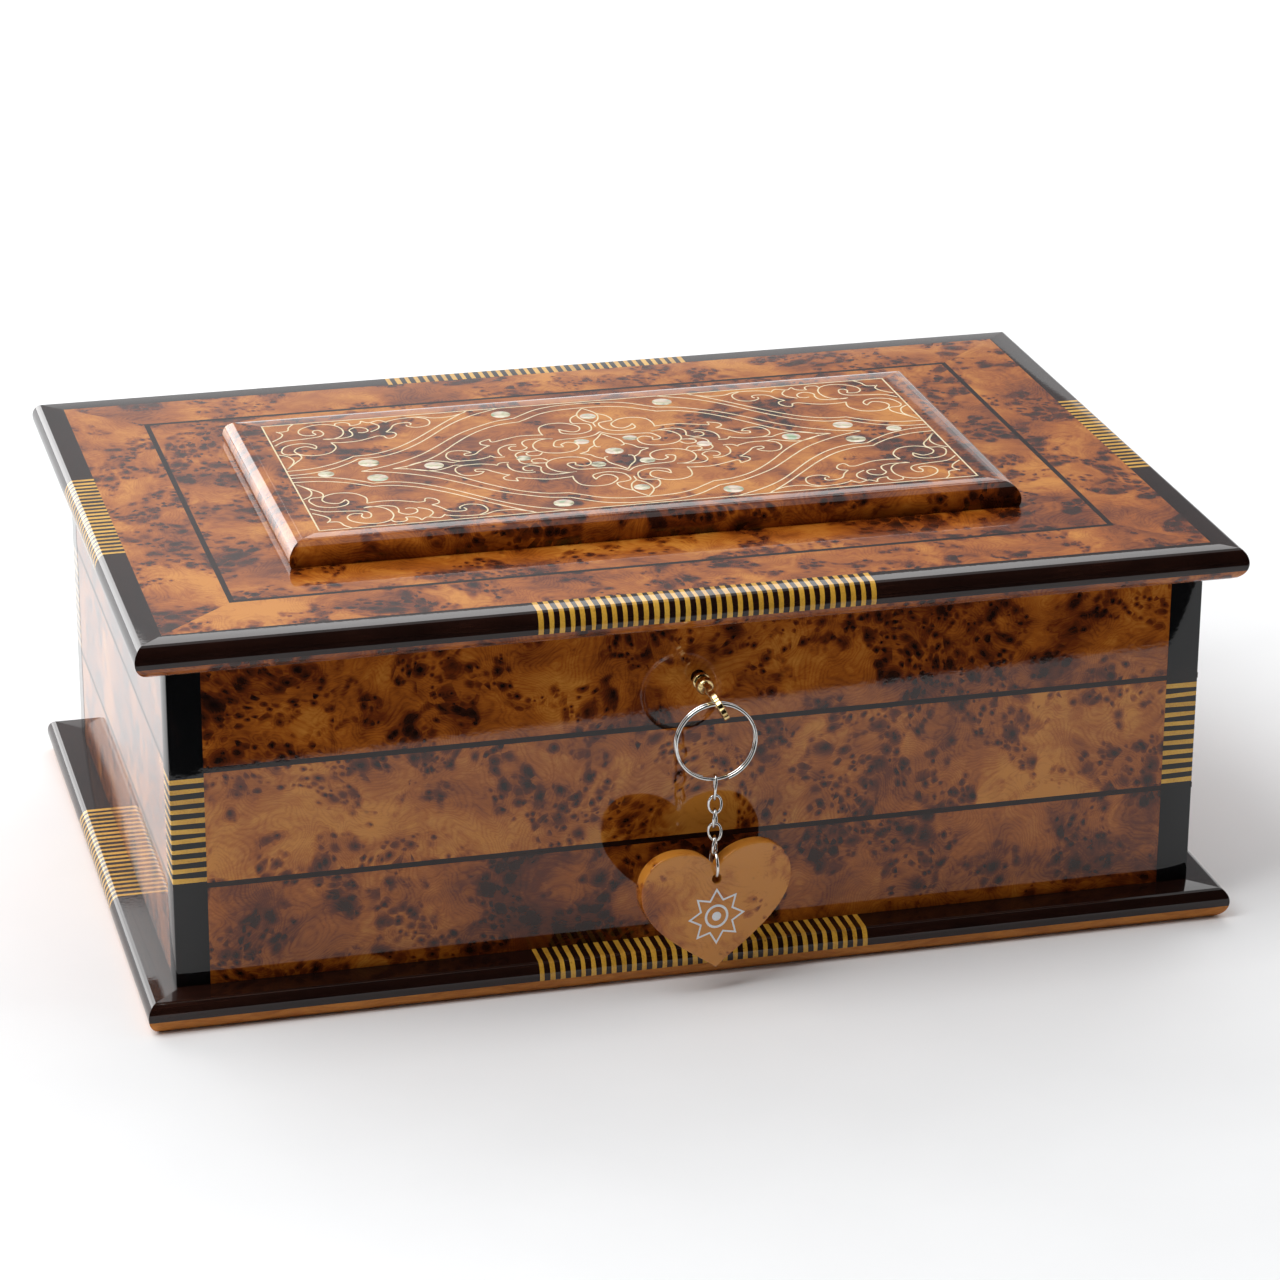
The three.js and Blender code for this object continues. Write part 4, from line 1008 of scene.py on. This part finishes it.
def make_chain():
    steps = 56
    for i, degrees in enumerate(LINK_TURNS, 1):
        low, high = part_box(f"chain_link_{i}")
        half_length = (high.z - low.z) / 2 - LINK_WIRE + LINK_SLACK
        middle = (low.z + high.z) / 2
        path = []
        for k in range(steps):
            angle = 2 * math.pi * k / steps
            x = LINK_HALF_WIDTH * math.copysign(abs(math.cos(angle)) ** 0.85, math.cos(angle))
            z = half_length * math.sin(angle)
            spin = math.radians(degrees + LINK_TWIST * z / half_length)
            path.append(Vector((x * math.cos(spin), BOW_Y + x * math.sin(spin), middle + z)))
        points, faces = tube(path, LINK_WIRE, 12, closed=True)
        piece(f"curb_link_{i}", points, faces, f"link_{i}", [NICKEL], [f"chain_link_{i}"],
              smooth=60)


def make_jump_ring():
    """The chain's end ring, open by a small gap."""
    low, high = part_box("fob_ring")
    radius = (high.z - low.z) / 2 - JUMP_RING_WIRE
    middle = (low.z + high.z) / 2
    gap, steps = 0.02, 60
    path = []
    for k in range(steps + 1):
        angle = 2 * math.pi * (gap + (1 - 2 * gap) * k / steps) + 0.6
        path.append(Vector((0.0, BOW_Y + radius * math.cos(angle), middle + radius * math.sin(angle))))
    points, faces = tube(path, JUMP_RING_WIRE, 12)
    piece("jump_ring", points, faces, "end_ring", [NICKEL], ["fob_ring"], smooth=50)


def heart_outline(width, height):
    """Half the outline as three Bezier arcs, mirrored. Its top is at 0 and its tip at -height."""
    steps = 18
    w, h = width / 2, height
    arcs = [((0, -h), (w * 0.25, -h * 0.86), (w, -h * 0.62), (w, -h * 0.3)),
            ((w, -h * 0.3), (w, -h * 0.1), (w * 0.78, 0), (w * 0.52, 0)),
            ((w * 0.52, 0), (w * 0.27, 0), (w * 0.08, -h * 0.07), (0, -h * 0.17))]
    right = []
    for a, b, c, d in arcs:
        for k in range(steps):
            t = k / steps
            s = 1 - t
            right.append((a[0] * s ** 3 + 3 * b[0] * s * s * t + 3 * c[0] * s * t * t + d[0] * t ** 3,
                          a[1] * s ** 3 + 3 * b[1] * s * s * t + 3 * c[1] * s * t * t + d[1] * t ** 3))
    right.append((0, -h * 0.17))
    left = [(-x, y) for x, y in reversed(right[1:-1])]
    return right + left


def shrunk(outline, middle, scale):
    return [(middle.x + (x - middle.x) * scale, middle.y + (y - middle.y) * scale) for x, y in outline]


def star_shapes(middle):
    """The printed mark: an outlined eight-pointed star round a ring and an eye."""
    star = []
    for k in range(16):
        radius = (8.2 if k % 2 == 0 else 5.2) * MM
        angle = math.pi * k / 8 + math.pi / 2
        star.append((middle.x + radius * math.cos(angle), middle.y + radius * math.sin(angle)))
    ring = circle(middle.x, middle.y, 3.4 * MM, 40)
    eye = circle(middle.x, middle.y, 1.3 * MM, 40)
    return {"star_edge": [star, shrunk(star, middle, 0.88)], "star_ring": [ring, shrunk(ring, middle, 0.8)],
            "star_eye": [eye]}


def make_fob():
    hole_depth = FOB_HEIGHT * 0.25
    # The outline stands in XZ and faces -Y, turned a little about Z.
    upright = Matrix(((1, 0, 0, 0), (0, 0, -1, 0), (0, 1, 0, 0), (0, 0, 0, 1)))
    place = Matrix.Translation((0, BOW_Y, FOB_HIGH.z)) @ Matrix.Rotation(FOB_TURN, 4, "Z") @ upright
    outlines = [heart_outline(FOB_WIDTH, FOB_HEIGHT), circle(0, -hole_depth, FOB_HOLE, 32)]
    wood = burl("burl_fob", (31.0, 52.0, 31.0), 0.5, -0.34, 0.4, contrast=1.5)
    flat_plate("heart", outlines, FOB_THICK, 0.35 * MM, place, "fob", wood, ["heart_fob"])
    face = Matrix.Translation((0, 0, FOB_THICK / 2))
    for name, outlines in star_shapes(Vector((0, -FOB_HEIGHT * 0.565))).items():
        flat_plate(name, outlines, 0.12 * MM, 0.03 * MM, place @ face, "fob", PRINT,
                   resolution=1)


# ---- Room, light and camera -----------------------------------------------------------------------


def stage_sheet(name, corners, material):
    """A flat sheet of the studio round the object."""
    mesh = bpy.data.meshes.new(name)
    mesh.from_pydata(corners, [], [(0, 1, 2, 3)])
    mesh.materials.append(material)
    sheet = bpy.data.objects.new(name, mesh)
    bpy.context.scene.collection.objects.link(sheet)
    return sheet


def stage_card(name, corners, material, hidden=("camera",)):
    """A card that only lights and reflections can see."""
    card = stage_sheet(name, corners, material)
    for ray in (*hidden, "shadow", "transmission"):
        setattr(card, "visible_" + ray, False)


def upright_corners(reach, y, low, high):
    return [(-reach, y, low), (reach, y, low), (reach, y, high), (-reach, y, high)]


def make_room():
    floor = stage_sheet("floor", [(x, y, 0) for x, y in rectangle(6.0, 6.0)], studio_paper("studio_paper"))
    floor.location.z = -0.0002
    reach, height = 3.0, 6.0
    slant = reach * CARD_SLANT
    dark = dark_card("dark_card")
    on_floor = [(-reach, -reach, 0.001), (reach, -reach, 0.001), (reach, CARD_EDGE - slant, 0.001),
                (-reach, CARD_EDGE + slant, 0.001)]
    stage_card("dark_floor", on_floor, dark, hidden=("camera", "diffuse"))
    stage_card("dark_room", upright_corners(reach, ROOM_FRONT, 0.002, height), dark)
    stage_card("grey_sky", upright_corners(reach, SKY_BACK, SKY_LOW, height), grey_sky("grey_sky"),
               hidden=("camera", "diffuse"))

    world = bpy.data.worlds.new("studio")
    bpy.context.scene.world = world
    world.use_nodes = True
    background = world.node_tree.nodes["Background"]
    background.inputs["Color"].default_value = (0.985, 0.99, 1.0, 1.0)
    background.inputs["Strength"].default_value = 0.9


def area_light(name, place, target, size, power):
    data = bpy.data.lights.new(name, "AREA")
    data.shape = "RECTANGLE"
    data.size, data.size_y = size
    data.energy = power
    light = bpy.data.objects.new(name, data)
    light.location = place
    light.rotation_euler = (Vector(target) - Vector(place)).to_track_quat("-Z", "Y").to_euler()
    bpy.context.scene.collection.objects.link(light)


def make_lights():
    area_light("key_light", (-0.8, -0.2, 1.4), (0, 0, 0.05), (1.0, 1.0), 15.0)
    area_light("back_light", (0.3, 1.2, 1.1), (0, 0, 0.05), (1.6, 0.8), 8.0)
    area_light("left_window", (-0.95, 1.6, 0.55), (-0.1, 0, 0.1), (1.1, 1.0), 11.0)


def make_camera():
    """A long lens from the front left, a little above the box."""
    azimuth, elevation, roll = math.radians(-14.7), math.radians(21.66), math.radians(0.30)
    data = bpy.data.cameras.new("camera")
    data.sensor_width = 36.0
    data.lens = 124.39125
    camera = bpy.data.objects.new("camera", data)
    camera.location = (-0.28879, -1.13004, 0.52161)
    back = Vector((math.sin(azimuth) * math.cos(elevation), -math.cos(azimuth) * math.cos(elevation),
                   math.sin(elevation)))
    right = (-back).cross(Vector((0, 0, 1))).normalized()
    up = right.cross(-back)
    tilted_right = right * math.cos(roll) + up * math.sin(roll)
    tilted_up = up * math.cos(roll) - right * math.sin(roll)
    basis = Matrix((tilted_right, tilted_up, back)).transposed()
    camera.rotation_euler = basis.to_euler()
    bpy.context.scene.collection.objects.link(camera)
    bpy.context.scene.camera = camera


make_camera()
make_room()
make_lights()
make_plinth()
make_posts()
make_walls()
make_lid()
make_raised_panel()
make_wires()
make_discs()
make_hinges_and_lock()
make_key()
make_keyring()
make_chain()
make_jump_ring()
make_fob()
bpy.context.scene.view_settings.view_transform = "Standard"
